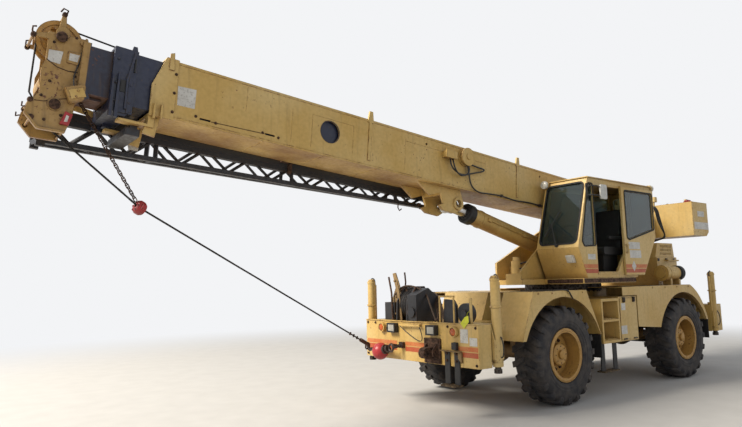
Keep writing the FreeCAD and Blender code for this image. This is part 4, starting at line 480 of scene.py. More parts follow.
def rounded(corners, radius):
    """An outline with each corner turned into an arc."""
    outline = []
    for (pa, pb), (ca, cb), (na, nb) in zip(corners[-1:] + corners[:-1], corners, corners[1:] + corners[:1]):
        back, on = Vector((pa - ca, pb - cb)).normalized(), Vector((na - ca, nb - cb)).normalized()
        half = back.angle(on) / 2
        start, end = Vector((ca, cb)) + back * radius / tan(half), Vector((ca, cb)) + on * radius / tan(half)
        middle = Vector((ca, cb)) + (back + on).normalized() * radius / sin(half)
        for step in range(ARC_STEPS + 1):
            arm = (start - middle).slerp(end - middle, step / ARC_STEPS)
            outline.append(tuple(middle + arm.normalized() * radius))
    return outline


def ring_plate(corners, radius, width, near, far, axis="Y"):
    """A flat band round an opening: a gasket, bezel or frame."""
    inner = rounded(corners, radius)
    outer = rounded(grown(corners, width), radius + width)
    count = len(inner)
    points = [AXES[axis](depth, a, b) for depth in (near, far) for line in (inner, outer) for a, b in line]
    faces = []
    for i in range(count):
        j = (i + 1) % count
        faces += [(i, j, count + j, count + i), (2 * count + i, 3 * count + i, 3 * count + j, 2 * count + j),
                  (i, 2 * count + i, 2 * count + j, j), (count + i, count + j, 3 * count + j, 3 * count + i)]
    return points, faces


# Pieces: an object in the scene that rides on a body of the frame
SHARP_ANGLE, CUT_ANGLE = radians(32), radians(40)


def finish_piece(piece, finish, body):
    piece.data.materials.append(finish)
    bpy.context.collection.objects.link(piece)
    if body:
        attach(piece, body)
    return piece


def space_of(body):
    """What a body's pieces are drawn in: the boom's sections in the boom's own frame."""
    return BOOM if body in (BASE, MID, FLY) else MACHINE


def make(name, shape, finish, body, space=None, cut=0.0):
    """A piece from a shape; cut takes its sharp edges off by that much."""
    mesh = bpy.data.meshes.new(name)
    space = space or space_of(body)
    mesh.from_pydata([space @ Vector(point) for point in shape[0]], [], shape[1])
    work = bmesh.new()
    work.from_mesh(mesh)
    bmesh.ops.recalc_face_normals(work, faces=work.faces)
    work.to_mesh(mesh)
    work.free()
    mesh.polygons.foreach_set("use_smooth", [True] * len(mesh.polygons))
    mesh.set_sharp_from_angle(angle=SHARP_ANGLE)
    piece = finish_piece(bpy.data.objects.new(name, mesh), finish, body)
    if cut:
        bevel = piece.modifiers.new("cut_edges", "BEVEL")
        bevel.width = cut
        bevel.segments = 2
        bevel.limit_method = "ANGLE"
        bevel.angle_limit = CUT_ANGLE
    return piece


def hose(name, routes, diameter, body, finish=HOSE):
    """Hoses held at both ends, each a smooth curve by its route's points."""
    curve = bpy.data.curves.new(name, "CURVE")
    curve.dimensions = "3D"
    curve.bevel_depth = diameter / 2
    curve.bevel_resolution = 3
    curve.use_fill_caps = True
    curve.resolution_u = 8
    for route in routes:
        spline = curve.splines.new("NURBS")
        spline.points.add(len(route) - 1)
        for point, place in zip(spline.points, route):
            point.co = (*(space_of(body) @ Vector(place)), 1)
        spline.order_u = 3
        spline.use_endpoint_u = True
    return finish_piece(bpy.data.objects.new(name, curve), finish, body)


# Wheels
WHEEL_X, WHEEL_Y = 1.7, 0.9975
TYRE_RADIUS = 0.665
LUGS = 20
LUG_PITCH = 2 * pi / LUGS
# How wide a lug's top is beside its root, and how deep its root is tucked in beyond the shoulder
LUG_TOP = 0.84
LUG_TUCK, SHOULDER = 0.02, 0.19
# From the crown down the side wall to the bead: radius and distance from the tyre's middle
TYRE_LINE = ((0.633, 0.0), (0.633, 0.09), (0.629, 0.15), (0.615, 0.185), (0.59, 0.208), (0.55, 0.219),
             (0.505, 0.2225), (0.478, 0.2215), (0.472, 0.2235), (0.464, 0.2235), (0.458, 0.2185),
             (0.436, 0.2165), (0.43, 0.2185), (0.422, 0.2175), (0.416, 0.2125), (0.398, 0.2085),
             (0.387, 0.2065), (0.378, 0.198), (0.37, 0.1777), (0.3184, 0.1777))
# Along a lug from the crown's middle over the shoulder: how far across, its outer and inner radius, then its
# lean and half its width in pitches
LUG_LINE = ((0.010, 0.665, 0.622, 0.45, 0.19), (0.070, 0.665, 0.622, 0.31, 0.21),
            (0.130, 0.664, 0.617, 0.16, 0.23), (0.182, 0.660, 0.600, 0.04, 0.24),
            (0.212, 0.645, 0.580, 0.0, 0.24), (0.2225, 0.612, 0.560, 0.0, 0.225),
            (0.2235, 0.572, 0.545, 0.0, 0.20))


def lug(start, way):
    """A tread bar, narrower at its top, its root tucked into the shoulder."""
    points, faces = [], []
    for across, outer, inner, lean, half in LUG_LINE:
        top = half * LUG_TOP
        turns = ((inner, lean - half), (outer, lean - top), (outer, lean + top), (inner, lean + half))
        for radius, turn in turns:
            angle = start + turn * LUG_PITCH
            tucked = across - LUG_TUCK * (radius == inner and across > SHOULDER)
            points.append((radius * cos(angle), way * tucked, radius * sin(angle)))
    last = 4 * (len(LUG_LINE) - 1)
    for ring in range(0, last, 4):
        faces += [(ring + i, ring + (i + 1) % 4, ring + 4 + (i + 1) % 4, ring + 4 + i) for i in range(4)]
    return points, faces + [(0, 1, 2, 3), (last, last + 1, last + 2, last + 3)]


def wheels():
    line = list(TYRE_LINE) + [(radius, -across) for radius, across in reversed(TYRE_LINE[1:])]
    bars = [lug(count * LUG_PITCH + (way < 0) * LUG_PITCH / 2, way) for count in range(LUGS) for way in (1, -1)]
    tyre = joined(turned(line, ORIGIN, "Y", 120, ring=True), *bars)
    nuts = bolts([(x, 0.0, z) for x, z in circle(12, 0.205)], "Y", 1, 0.026)
    hub_bolts = bolts([(x, 0.1, z) for x, z in circle(8, 0.112)], "Y", 1, 0.014)
    cap = turned([(0.062, 0.108), (0.062, 0.138), (0.05, 0.146), (0.02, 0.148)], ORIGIN, "Y", 24)
    lock = [(0.304, 0.172), (0.318, 0.196), (0.332, 0.204), (0.352, 0.2), (0.352, 0.19), (0.304, 0.16)]
    lock_ring = turned(lock, ORIGIN, "Y", 72, ring=True)
    stem = rod([(0.24, 0.0, 0.05), (0.262, 0.02, 0.05), (0.285, 0.07, 0.05)], 0.006, 8)
    for axle, way in (("front", 1), ("rear", -1)):
        for side_name, side in SIDES:
            place = (way * WHEEL_X, side * WHEEL_Y, TYRE_RADIUS), (1, side, 1)
            wheel = f"{axle}_{side_name}_wheel"
            rolled = make(f"{axle}_{side_name}_lugged_tyre", moved(tyre, *place), TYRE, wheel, cut=0.006)
            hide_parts(f"{axle}_{side_name}_tyre")
            make(f"{wheel}_nuts", moved(joined(nuts, hub_bolts, stem), *place), RUSTY, wheel)
            make(f"{wheel}_hub_cap", moved(joined(cap, lock_ring), *place), RIM, wheel, cut=0.003)


wheels()


# Front and rear outrigger boxes: the planes that their fittings stand on
FACE, BACK = 3.3403, -3.2803
REAR_LENS = -3.3546
LAMP_Y = (-0.47, 0.34)
MARKER_Y = (-0.718, 0.73)


def lens(centre, radius, way):
    """A round lens, domed."""
    dome = [(radius, 0), (radius * 0.92, way * radius * 0.16), (radius * 0.6, way * radius * 0.3),
            (radius * 0.2, way * radius * 0.36)]
    return turned(dome, centre, "X", 24)


def box_lamps():
    ribbed = []
    for y in LAMP_Y:
        starts = [y - 0.06 + 0.012 * rib for rib in range(10)]
        ribbed += [block(FACE + 0.0605, FACE + 0.07, start, start + 0.008, 1.026, 1.104) for start in starts]
        ribbed.append(block(FACE + 0.0602, FACE + 0.0665, y - 0.064, y + 0.064, 1.02, 1.11))
    make("front_lamp_lenses", joined(*ribbed), LENS, CARRIER, cut=0.001)
    markers = [lens((FACE + 0.0385, y, 1.06), 0.047, 1) for y in MARKER_Y]
    make("front_marker_lenses", joined(*markers), AMBER, CARRIER)
    band = [(0.05, 0.02), (0.05, 0.05), (0.066, 0.05), (0.066, 0.002)]
    rings = [turned(band, (FACE, y, 1.06), "X", 32, ring=True) for y in MARKER_Y]
    make("front_marker_rings", joined(*rings), BODY, CARRIER, cut=0.002)
    rear = [lens((REAR_LENS, y + step, 1.075), 0.047, -1) for y in (-0.7, 0.7) for step in (-0.08, 0.08)]
    make("rear_lamp_lenses", joined(*rear), RUBY, CARRIER)


def front_face():
    # The stripe runs across the face in two tones, broken by the fittings
    runs = ((-1.1, -0.42), (-0.24, 0.16), (0.78, 1.11))
    for name, finish, low, high in (("upper", STRIPE, 0.83, 0.885), ("lower", DEEP_STRIPE, 0.755, 0.818)):
        bands = [block(FACE, FACE + 0.0014, start, end, low, high) for start, end in runs]
        make(f"front_stripe_{name}", joined(*bands), finish, CARRIER)
    plates = joined(block(FACE, FACE + 0.003, 0.82, 0.95, 0.93, 1.1),
                    block(FACE, FACE + 0.003, 0.975, 1.1, 0.9, 1.0))
    make("front_blank_plates", plates, PLATE, CARRIER, cut=0.001)
    outline = [(0.84, 1.17), (0.9, 1.11), (0.985, 1.19), (0.98, 1.27), (0.92, 1.25)]
    tag = plate(outline, FACE + 0.012, FACE + 0.014, "X")
    cord = rod([(FACE + 0.013, 0.95, 1.25), (FACE, 0.955, 1.3), (FACE - 0.05, 0.961, 1.33)], 0.002, 6)
    make("hanging_tag", joined(tag, cord), TAG, CARRIER)
    # A flat bar on two studs with a cable slung under it
    studs = [block(FACE, FACE + 0.05, y - 0.012, y + 0.012, 1.1, 1.13) for y in (-0.28, 0.09)]
    bar = joined(block(FACE + 0.045, FACE + 0.057, -0.31, 0.12, 1.098, 1.132), *studs)
    make("front_bar", bar, BODY, CARRIER, cut=0.002)
    slung = [(FACE + 0.05, -0.29, 1.1), (FACE + 0.055, -0.12, 1.0), (FACE + 0.04, 0.1, 0.9),
             (FACE + 0.05, 0.17, 0.93), (FACE + 0.055, 0.16, 1.02), (FACE + 0.05, 0.11, 1.1)]
    hose("front_slung_cable", [slung], 0.012, CARRIER)
    # Lip plate, bolt heads and a pad
    top_edge = block(FACE - 0.06, FACE + 0.012, -1.124, 1.124, 1.1533, 1.1653)
    make("front_top_edge", top_edge, BODY, CARRIER, cut=0.003)
    spots = [(FACE, y, z) for y in (-1.08, -0.9, 0.6, 1.08) for z in (0.67, 1.12)]
    make("front_face_bolts", bolts(spots, "X", 1, 0.018), RUSTY, CARRIER)
    make("front_rubber_pad", block(FACE, FACE + 0.05, 0.7, 0.78, 0.84, 0.93), TRIM, CARRIER, cut=0.006)
    spots = [(BACK, y, z) for y in (-1.08, -0.4, 0.4, 1.08) for z in (0.74, 1.12)]
    make("rear_face_bolts", bolts(spots, "X", -1, 0.018), RUSTY, CARRIER)
    bands = [block(BACK - 0.0014, BACK, start, end, 0.88, 0.93) for start, end in ((-1.1, -0.2), (0.2, 1.1))]
    make("rear_stripe", joined(*bands), STRIPE, CARRIER)


box_lamps()
front_face()


def step_straps():
    """Rubber belting round the steel straps of the hanging steps, bolted through at the top under a ledge."""
    strap_y = (0.59, 0.76)
    front = [block(FACE, FACE + 0.018, y - 0.045, y + 0.045, 0.411, 0.822) for y in strap_y]
    left = [block(x - 0.05, x + 0.05, 1.128, 1.146, 0.351, 0.743) for x in (0.425, 0.745)]
    make("step_straps", joined(*front, *left), TRIM, CARRIER, cut=0.003)
    nuts = bolts([(FACE + 0.018, y, z) for y in strap_y for z in (0.7, 0.79)], "X", 1, 0.02)
    make("step_bolts", nuts, RUSTY, CARRIER)
    ledge = block(FACE + 0.0185, FACE + 0.06, 0.5, 0.85, 0.814, 0.828)
    corner = [(0.79, 0.8135), (0.79, 0.735), (0.85, 0.68), (0.85, 0.8135)]
    gusset = plate(corner, FACE + 0.0005, FACE + 0.03, "X")
    make("step_bracket", joined(ledge, gusset), UNDER, CARRIER, cut=0.003)


step_straps()


# Outrigger jacks
JACK_Y = 1.13
JACK_TOP = 1.729


def jack_fittings():
    """Each jack's hoses, its lock pin and a flange of bolts, riding out with the beam."""
    for axle, port_x, lift in (("front", -0.072, 0.0), ("rear", 0.072, 0.06)):
        for side_name, side in SIDES:
            beam = f"{axle}_{side_name}_beam"
            low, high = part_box(f"{axle}_{side_name}_jack_rod")
            x = (low[0] + high[0]) / 2 - MACHINE.translation.x
            y = side * JACK_Y
            top = JACK_TOP + lift / 3
            band = [(0.06, 0), (0.072, 0.006), (0.072, 0.024), (0.06, 0.03)]
            collar = turned(band, (x, y, 1.35 + lift), "Z", 32, ring=True)
            cap = turned([(0.045, 0), (0.045, 0.02), (0.02, 0.026)], (x, y, top), "Z", 24)
            heads = bolts([(x + a, y + b, top) for a, b in circle(6, 0.045)], "Z", 1, 0.009)
            make(f"{beam}_jack_collar", joined(collar, cap, heads), BODY, beam, cut=0.002)
            line = [(x + port_x, y, top - 0.07), (x + port_x, y, top + 0.01),
                    (x + port_x * 0.4, y, top + 0.045), (x, y, top + 0.03)]
            elbow = [(x, y + side * 0.06, 0.75 + lift), (x, y + side * 0.1, 0.75 + lift),
                     (x, y + side * 0.1, 0.95 + lift), (x, y + side * 0.062, 1.0 + lift)]
            hose(f"{beam}_jack_hoses", [line, elbow], 0.016, beam)
            pin_y, pin_z = y - side * 0.04, 1.1 + lift
            pin = joined(rod([(x - 0.11, pin_y, pin_z), (x + 0.11, pin_y, pin_z)], 0.011, 10),
                         turned([(0.022, 0), (0.022, 0.008)], (x + 0.1, pin_y, pin_z), "X", 16))
            make(f"{beam}_lock_pin", pin, RUSTY, beam)


jack_fittings()


# Carrier sides and decks
BODY_SIDE = 1.2
HOOD_SIDE = 0.7503
CLEANER_Y, CLEANER_Z = 0.955, 1.76
LOW_DECK = 1.1655


def side_fittings():
    plates = joined(block(0.155, 0.265, BODY_SIDE, BODY_SIDE + 0.002, 1.205, 1.31),
                    block(0.14, 0.3, BODY_SIDE, BODY_SIDE + 0.002, 0.85, 0.975))
    make("tool_box_blank_plates", plates, PLATE, CARRIER, cut=0.0008)
    latches = [joined(block(x, x + 0.05, BODY_SIDE, BODY_SIDE + 0.02, 1.32, 1.4),
                      block(x + 0.012, x + 0.038, BODY_SIDE + 0.02, BODY_SIDE + 0.032, 1.335, 1.395))
               for x in (-0.1, 0.18)]
    hinges = [rod([(x, BODY_SIDE + 0.006, 0.775), (x + 0.09, BODY_SIDE + 0.006, 0.775)], 0.011, 10)
              for x in (-0.12, 0.16)]
    make("tool_box_latches", joined(*latches, *hinges), STEEL, CARRIER, cut=0.002)
    # Bolt heads along both fenders, where their skins are fixed
    spots = [(x, BODY_SIDE, 1.505) for x in (1.25, 1.6, 1.95, 2.25)]
    spots += [(x, BODY_SIDE, 1.525) for x in (-1.9, -1.5, -1.1, -0.7)]
    make("fender_bolts", both_sides(bolts(spots, "Y", 1, 0.014)), BODY, CARRIER)
    hose("fender_air_hose", [[(2.05, 0.75, 1.549), (1.9, 1.0, 1.541), (1.78, 1.15, 1.541), (1.7, 1.2, 1.548),
                              (1.6, 1.215, 1.535), (1.54, 1.212, 1.47), (1.5, 1.211, 1.42)]], 0.018, CARRIER)
    # Anti-slip strips on the fenders and decks
    strips = [block(x, x + 0.05, 0.72, 1.16, 1.5321, 1.5351) for x in (1.3, 1.5, 2.05, 2.2)]
    strips += [block(x, x + 0.05, 0.72, 1.16, 1.5543, 1.5573) for x in (-0.9, -1.1, -1.3)]
    make("anti_slip_strips", both_sides(joined(*strips)), TRIM, CARRIER, cut=0.001)
    flaps = []
    for x, low, high in ((0.845, 0.55, 0.9), (-2.56, 0.6, 0.95)):
        flaps.append(block(x - 0.008, x, 0.79, 1.19, low, high))
        flaps.append(block(x - 0.014, x + 0.006, 0.79, 1.19, high - 0.05, high - 0.02))
    make("mud_flaps", both_sides(joined(*flaps)), TRIM, CARRIER, cut=0.002)


def hood_fittings():
    """Hinges, latches and the bolted seam, the exhaust, and the air cleaner's bands and rubber boot."""
    fittings = [block(x, x + 0.06, HOOD_SIDE, 0.762, 1.98, 2.03) for x in (-2.42, -2.14, -1.86)]
    fittings += [block(x, x + 0.04, HOOD_SIDE, 0.772, 1.62, 1.7) for x in (-2.3, -1.95)]
    make("hood_latches", both_sides(joined(*fittings)), STEEL, CARRIER, cut=0.002)
    seam = [(x, HOOD_SIDE, 1.59) for x in (-2.45, -2.3, -2.15, -2.0, -1.85)]
    make("hood_bolts", both_sides(bolts(seam, "Y", 1, 0.011)), BODY, CARRIER)
    pipe = rod([(-2.2, -0.4, 2.25), (-2.2, -0.4, 2.44), (-2.23, -0.4, 2.51), (-2.3, -0.4, 2.53)], 0.045, 20)
    collar = turned([(0.06, 0), (0.06, 0.03)], (-2.2, -0.4, 2.3), "Z", 24)
    make("exhaust_stub", joined(pipe, collar), RUSTY, CARRIER, cut=0.003)
    band = [(0.121, 0), (0.126, 0.004), (0.126, 0.026), (0.121, 0.03)]
    bands = [turned(band, (x, CLEANER_Y, CLEANER_Z), "X", 40, ring=True) for x in (-1.645, -1.99)]
    make("air_cleaner_bands", joined(*bands), GASKET, CARRIER)
    line = [(0.119, -2.0), (0.131, -2.006), (0.131, -2.1), (0.125, -2.114), (0.06, -2.118), (0.05, -2.105)]
    boot = turned(line, (0, CLEANER_Y, CLEANER_Z), "X", 40)
    make("air_cleaner_boot", boot, GASKET, CARRIER)


def axle_fittings():
    """Hoses from the rails to the axles, and the cylinders that steer them."""
    ways = (1, -1)
    runs = [[(way * 1.25, side * 0.33, 0.9), (way * 1.3, side * 0.34, 0.83), (way * 1.5, side * 0.4, 0.8),
             (way * 1.66, side * 0.5, 0.8), (way * 1.7, side * 0.6, 0.78)] for way in ways for side in ways]
    hose("brake_hoses", runs, 0.016, CARRIER)
    rods = [rod([(way * 1.45, -half, 0.6), (way * 1.45, half, 0.6)], radius, sides)
            for half, radius, sides in ((0.62, 0.024, 14), (0.3, 0.045, 20)) for way in ways]
    holders = [block(way * 1.45 - 0.03, way * 1.45 + way * 0.16, y - 0.02, y + 0.02, 0.57, 0.63)
               for way in ways for y in (-0.28, 0.28)]
    make("steering_cylinders", joined(*rods, *holders), STEEL, CARRIER, cut=0.003)


side_fittings()
hood_fittings()
axle_fittings()


def hook_block_fittings():
    """The spare hook block's rope, guard bars and bolts; it stands on the low deck behind the front box."""
    x, y, z, radius = 3.07, -0.33, 1.3783, 0.205
    wrap = [(x + radius * cos(a * pi / 12), z + radius * sin(a * pi / 12)) for a in range(25)]
    loops = [rod([(a, y + offset, b) for a, b in wrap], 0.009, 8) for offset in (-0.072, -0.024, 0.024, 0.072)]
    make("hook_block_ropes", joined(*loops), ROPE, CARRIER)
    bent = ((-0.2, 0.06), (-0.08, 0.25), (0.08, 0.25), (0.2, 0.06))
    guard = [rod([(x + a, side * 0.125 + y, z + b) for a, b in bent], 0.012, 10) for side in (-1, 1)]
    spots = ((-0.18, 0.0), (0.18, 0.0), (-0.06, 0.2), (0.06, 0.2), (0.0, -0.17))
    nuts = bolts([(x + a, y - 0.1203, z + b) for a, b in spots], "Y", -1, 0.02)
    make("hook_block_fittings", joined(*guard, nuts), RUSTY, CARRIER, cut=0.002)


def deck_heap():
    """Old hoses, pins and brackets heaped round the block, and the tie that holds the ball."""
    heap = []
    for number in range(5):
        lean = 0.03 * number
        heap.append([(2.78 + lean, -0.62, 1.17), (2.76 + lean, -0.5, 1.42 + lean),
                     (2.86, -0.2 + lean, 1.5 + lean * 0.5), (2.98, 0.02 + lean, 1.34),
                     (3.06, 0.16 + lean, 1.19), (3.2 - lean, 0.22 + lean, 1.168)])
    heap.append([(3.2, -0.62, 1.5), (3.22, -0.5, 1.62), (3.16, -0.3, 1.66), (3.1, -0.05, 1.56),
                 (3.16, 0.1, 1.36), (3.22, 0.26, 1.18)])
    hose("deck_hoses", heap, 0.024, CARRIER, OLD_HOSE)
    leaning = plate([(-0.7, 1.166), (-0.5, 1.166), (-0.46, 1.42), (-0.52, 1.66), (-0.6, 1.84), (-0.67, 1.83),
                     (-0.61, 1.62), (-0.72, 1.4)], 3.17, 3.185, "X")
    stay = plate([(-0.44, 1.166), (-0.37, 1.166), (-0.42, 1.56), (-0.47, 1.72), (-0.51, 1.7), (-0.47, 1.5)],
                 3.26, 3.275, "X")
    heads = bolts([(3.185, -0.6, 1.25), (3.185, -0.58, 1.5), (3.185, -0.61, 1.72)], "X", 1, 0.026)
    make("leaning_brackets", joined(leaning, stay, heads), UNDER, CARRIER, cut=0.003)
    posts = joined(rod([(3.24, -0.62, LOW_DECK), (3.22, -0.66, 1.55), (3.2, -0.74, 1.78)], 0.014, 10),
                   rod([(3.1, -0.52, 1.42), (3.08, -0.5, 1.7), (3.12, -0.47, 1.84)], 0.012, 10),
                   block(3.15, 3.162, -0.56, -0.38, LOW_DECK, 1.62))
    make("deck_pins", posts, RUSTY, CARRIER, cut=0.002)
    bow = [(3.4925, -0.372, 0.846), (3.5, -0.36, 0.862), (3.495, -0.33, 0.85), (3.44, -0.3, 0.84)]
    make("ball_tie", rod(bow, 0.011, 10), RUSTY, CARRIER)


hook_block_fittings()
deck_heap()


# Cab: glass, gaskets, lamps and mirror
def slope_front(z):
    """How far forward the cab's windscreen face is at a height."""
    return 1.216 - (z - 2.147) * 0.3178


def slope_chin(z):
    """The same for the panel under it, which slopes back in."""
    return 1.02 + (z - 1.7003) * 0.4387


def on_face(shape, face):
    """A shape drawn with X as its depth, laid on a sloping front face."""
    return [(face(z) + x, y, z) for x, y, z in shape[0]], shape[1]


CAB_SIDE = 1.1602
DOOR_SIDE = 1.2013
FRONT_PANE = square(0.485, 1.105, 2.222, 3.122)
REAR_PANE = square(0.51, 1.08, 2.42, 3.06)
RIGHT_PANE = [(1.0, 2.26), (0.8, 3.08), (-0.8, 3.08), (-0.8, 2.5)]
QUARTER_PANE = [(1.098, 2.24), (0.874, 3.1), (0.775, 3.1), (0.775, 2.19), (1.058, 2.175)]
SIDE_PANE = [(-0.3, 2.4), (-0.3, 3.06), (-0.87, 3.06), (-0.87, 2.48)]
DOOR_PANE = [(-0.053, 2.32), (-0.053, 3.05), (-0.871, 3.05), (-0.871, 2.48), (-0.11, 2.299)]


def cab_glazing():
    pane = plate(rounded(FRONT_PANE, 0.06), -0.024, -0.018, "X")
    make("windscreen", on_face(pane, slope_front), GLASS, TURRET)
    make("rear_pane", plate(rounded(REAR_PANE, 0.06), -0.899, -0.893, "X"), GLASS, TURRET)
    make("right_pane", plate(rounded(RIGHT_PANE, 0.06), 0.447, 0.453), GLASS, TURRET)
    front = on_face(ring_plate(FRONT_PANE, 0.06, 0.026, -0.03, 0.009, "X"), slope_front)
    back = ring_plate(REAR_PANE, 0.06, 0.022, -0.936, -0.912, "X")
    right = ring_plate(RIGHT_PANE, 0.06, 0.024, 0.4185, 0.4302)
    quarter = ring_plate(QUARTER_PANE, 0.028, 0.022, 1.1585, 1.1685)
    side = ring_plate(SIDE_PANE, 0.045, 0.014, 1.1585, 1.163)
    make("cab_gaskets", joined(front, back, right, quarter, side), GASKET, TURRET, cut=0.002)
    make("door_gasket", ring_plate(DOOR_PANE, 0.024, 0.024, 1.2005, 1.2095), GASKET, DOOR, cut=0.002)
    # Wiper: pivot under the glass, arm and blade leaning over it
    low, high = (0.79, 2.19), (0.66, 2.53)
    arm = rod([(slope_front(low[1]) + 0.03, *low), (slope_front(high[1]) + 0.035, *high)], 0.007, 8)
    blade = rod([(slope_front(2.34) + 0.016, 0.56, 2.34), (slope_front(2.7) + 0.016, 0.78, 2.72)], 0.009, 8)
    hub = turned([(0.024, 0), (0.024, 0.035), (0.012, 0.045)], (slope_front(low[1]) - 0.002, *low), "X", 20)
    make("wiper", joined(arm, blade, hub), TRIM, TURRET)


def cab_lamps():
    """Round work lamps at the roof's corners and a square driving lamp low on the front."""
    bezel = turned([(0.046, -0.01), (0.046, 0.012), (0.057, 0.012), (0.06, 0.0), (0.06, -0.03), (0.053, -0.03)],
                   ORIGIN, "X", 32, ring=True)
    bezels, lenses = [], []
    for x, y, z, way in ((0.975, 0.455, 3.17, 1), (-0.995, 1.13, 3.17, -1)):
        bezels.append(moved(bezel, (x, y, z), (way, 1, 1)))
        lenses.append(lens((x + way * 0.001, y, z), 0.045, way))
    make("work_lamp_bezels", joined(*bezels), SHELL, TURRET, cut=0.002)
    make("work_lamp_lenses", joined(*lenses), LENS, TURRET)
    housing = plate(rounded(square(0.925, 1.045, 1.925, 2.035), 0.012), -0.02, 0.05, "X")
    make("driving_lamp", on_face(housing, slope_chin), SHELL, TURRET, cut=0.004)
    pane = plate(rounded(square(0.937, 1.033, 1.937, 2.023), 0.01), 0.0502, 0.056, "X")
    make("driving_lamp_lens", on_face(pane, slope_chin), LENS, TURRET, cut=0.001)


def cab_mirror():
    """It stands on two arms from the front corner, clear of the sliding door."""
    housing = plate(rounded(square(0.545, 0.715, 2.87, 3.09), 0.03), 1.24, 1.268)
    make("mirror_housing", housing, SHELL, TURRET, cut=0.006)
    glass = rounded(square(0.558, 0.702, 2.883, 3.077), 0.022)
    make("mirror_glass", plate(glass, 1.2375, 1.2398), MIRROR, TURRET)
    arms = [rod([(0.93, 1.158, z), (0.9, 1.235, z), (0.8, 1.252, z), (0.7, 1.252, z - 0.01)], 0.009, 10)
            for z in (3.06, 2.92)]
    make("mirror_arms", joined(*arms, block(0.91, 0.95, CAB_SIDE, 1.172, 2.88, 3.1)), TRIM, TURRET, cut=0.002)


def cab_signs():
    """Stripes along the cab's side, carried on over the door, with blank signs."""
    for name, finish, low, high, door_low, door_high in (("low", DEEP_STRIPE, 1.77, 1.83, -0.505, -0.545),
                                                         ("high", STRIPE, 1.842, 1.9, -0.555, -0.595)):
        run = [(0.75, low), (slope_chin(low) - 0.004, low), (slope_chin(high) - 0.004, high), (0.75, high)]
        make(f"cab_stripe_{name}", plate(run, CAB_SIDE, CAB_SIDE + 0.0012), finish, TURRET)
        run = [(door_low, low), (0.046, low), (0.046, high), (door_high, high)]
        make(f"door_stripe_{name}", plate(run, DOOR_SIDE, DOOR_SIDE + 0.0012), finish, DOOR)
    diamond = [(-0.184, 1.79), (-0.12, 1.872), (-0.184, 1.954), (-0.248, 1.872)]
    signs = joined(plate(diamond, 1.2027, 1.204), block(-0.4, -0.07, DOOR_SIDE, 1.2028, 2.14, 2.25),
                   block(-0.42, -0.09, DOOR_SIDE, 1.2028, 2.0, 2.12))
    make("door_blank_signs", signs, PLATE, DOOR)
    make("cab_blank_plate", block(0.8, 0.99, CAB_SIDE, CAB_SIDE + 0.002, 1.97, 2.05), PLATE, TURRET)


def roof_and_inside():
    """Bolts and gutter of the roof; arm rests and the steering wheel, seen through the glass."""
    spots = [(x, y, 3.2285) for x in (-0.3, 0.2) for y in (0.62, 0.97)]
    make("roof_bolts", bolts(spots, "Z", 1, 0.014), BODY, TURRET)
    drip = joined(rod([(0.9, 1.176, 3.2), (-0.94, 1.176, 3.187)], 0.009, 8),
                  rod([(0.93, 1.13, 3.06), (0.93, 1.17, 3.06)], 0.008, 8))
    make("roof_gutter", drip, BODY, TURRET)
    rests = [joined(block(-0.18, 0.18, y, y + 0.06, 2.3, 2.35),
                    block(-0.15, -0.11, y + 0.01, y + 0.05, 2.14, 2.3))
             for y in (0.56, 0.98)]
    make("arm_rests", joined(*rests), TRIM, TURRET, cut=0.012)
    hub = Vector((0.735, 0.8, 2.415))
    across = Vector((0, 1, 0))
    other = Vector((-0.4, 0, 0.9)).normalized().cross(across)
    rim = rod([hub + across * a + other * b for a, b in circle(24, 0.19)], 0.014, 10, closed=True)
    spokes = [rod([hub, hub + (across * cos(t) + other * sin(t)) * 0.19], 0.01, 8) for t in (0.5, 2.6, 4.7)]
    make("steering_wheel", joined(rim, *spokes), TRIM, TURRET)


cab_glazing()
cab_lamps()
cab_mirror()
cab_signs()
roof_and_inside()


# Turret and counterweight
WEIGHT_SIDE = 1.1503
LIFT_PIN = (0.0, 2.089)


def weight_fittings():
    plates = joined(block(-2.86, -2.6, WEIGHT_SIDE, WEIGHT_SIDE + 0.002, 2.785, 2.885),
                    block(-3.0, -2.45, WEIGHT_SIDE, WEIGHT_SIDE + 0.002, 2.55, 2.68))
    make("weight_blank_plates", both_sides(plates), PLATE, TURRET, cut=0.0008)
    dome = [(0.07, 0), (0.07, 0.02), (0.058, 0.024), (0.05, 0.04), (0.02, 0.05)]
    make("tail_marker_lens", turned(dome, (-2.52, 1.03, 3.05), "Z", 24), RUBY, TURRET)
    straps = [block(-2.41, -2.405, y - 0.06, y + 0.06, 2.52, 2.9) for y in (-0.25, 0.25)]
    heads = bolts([(-2.405, y, z) for y in (-0.25, 0.25) for z in (2.56, 2.86)], "X", 1, 0.02)
    make("weight_keepers", joined(*straps, heads), BODY, TURRET, cut=0.002)
    nuts = [(-2.748 + 0.16 * dx, side * 0.62, 3.0502) for dx in (-1, 1) for side in (-1, 1)]
    make("weight_stud_nuts", bolts(nuts, "Z", 1, 0.03), RUSTY, TURRET)


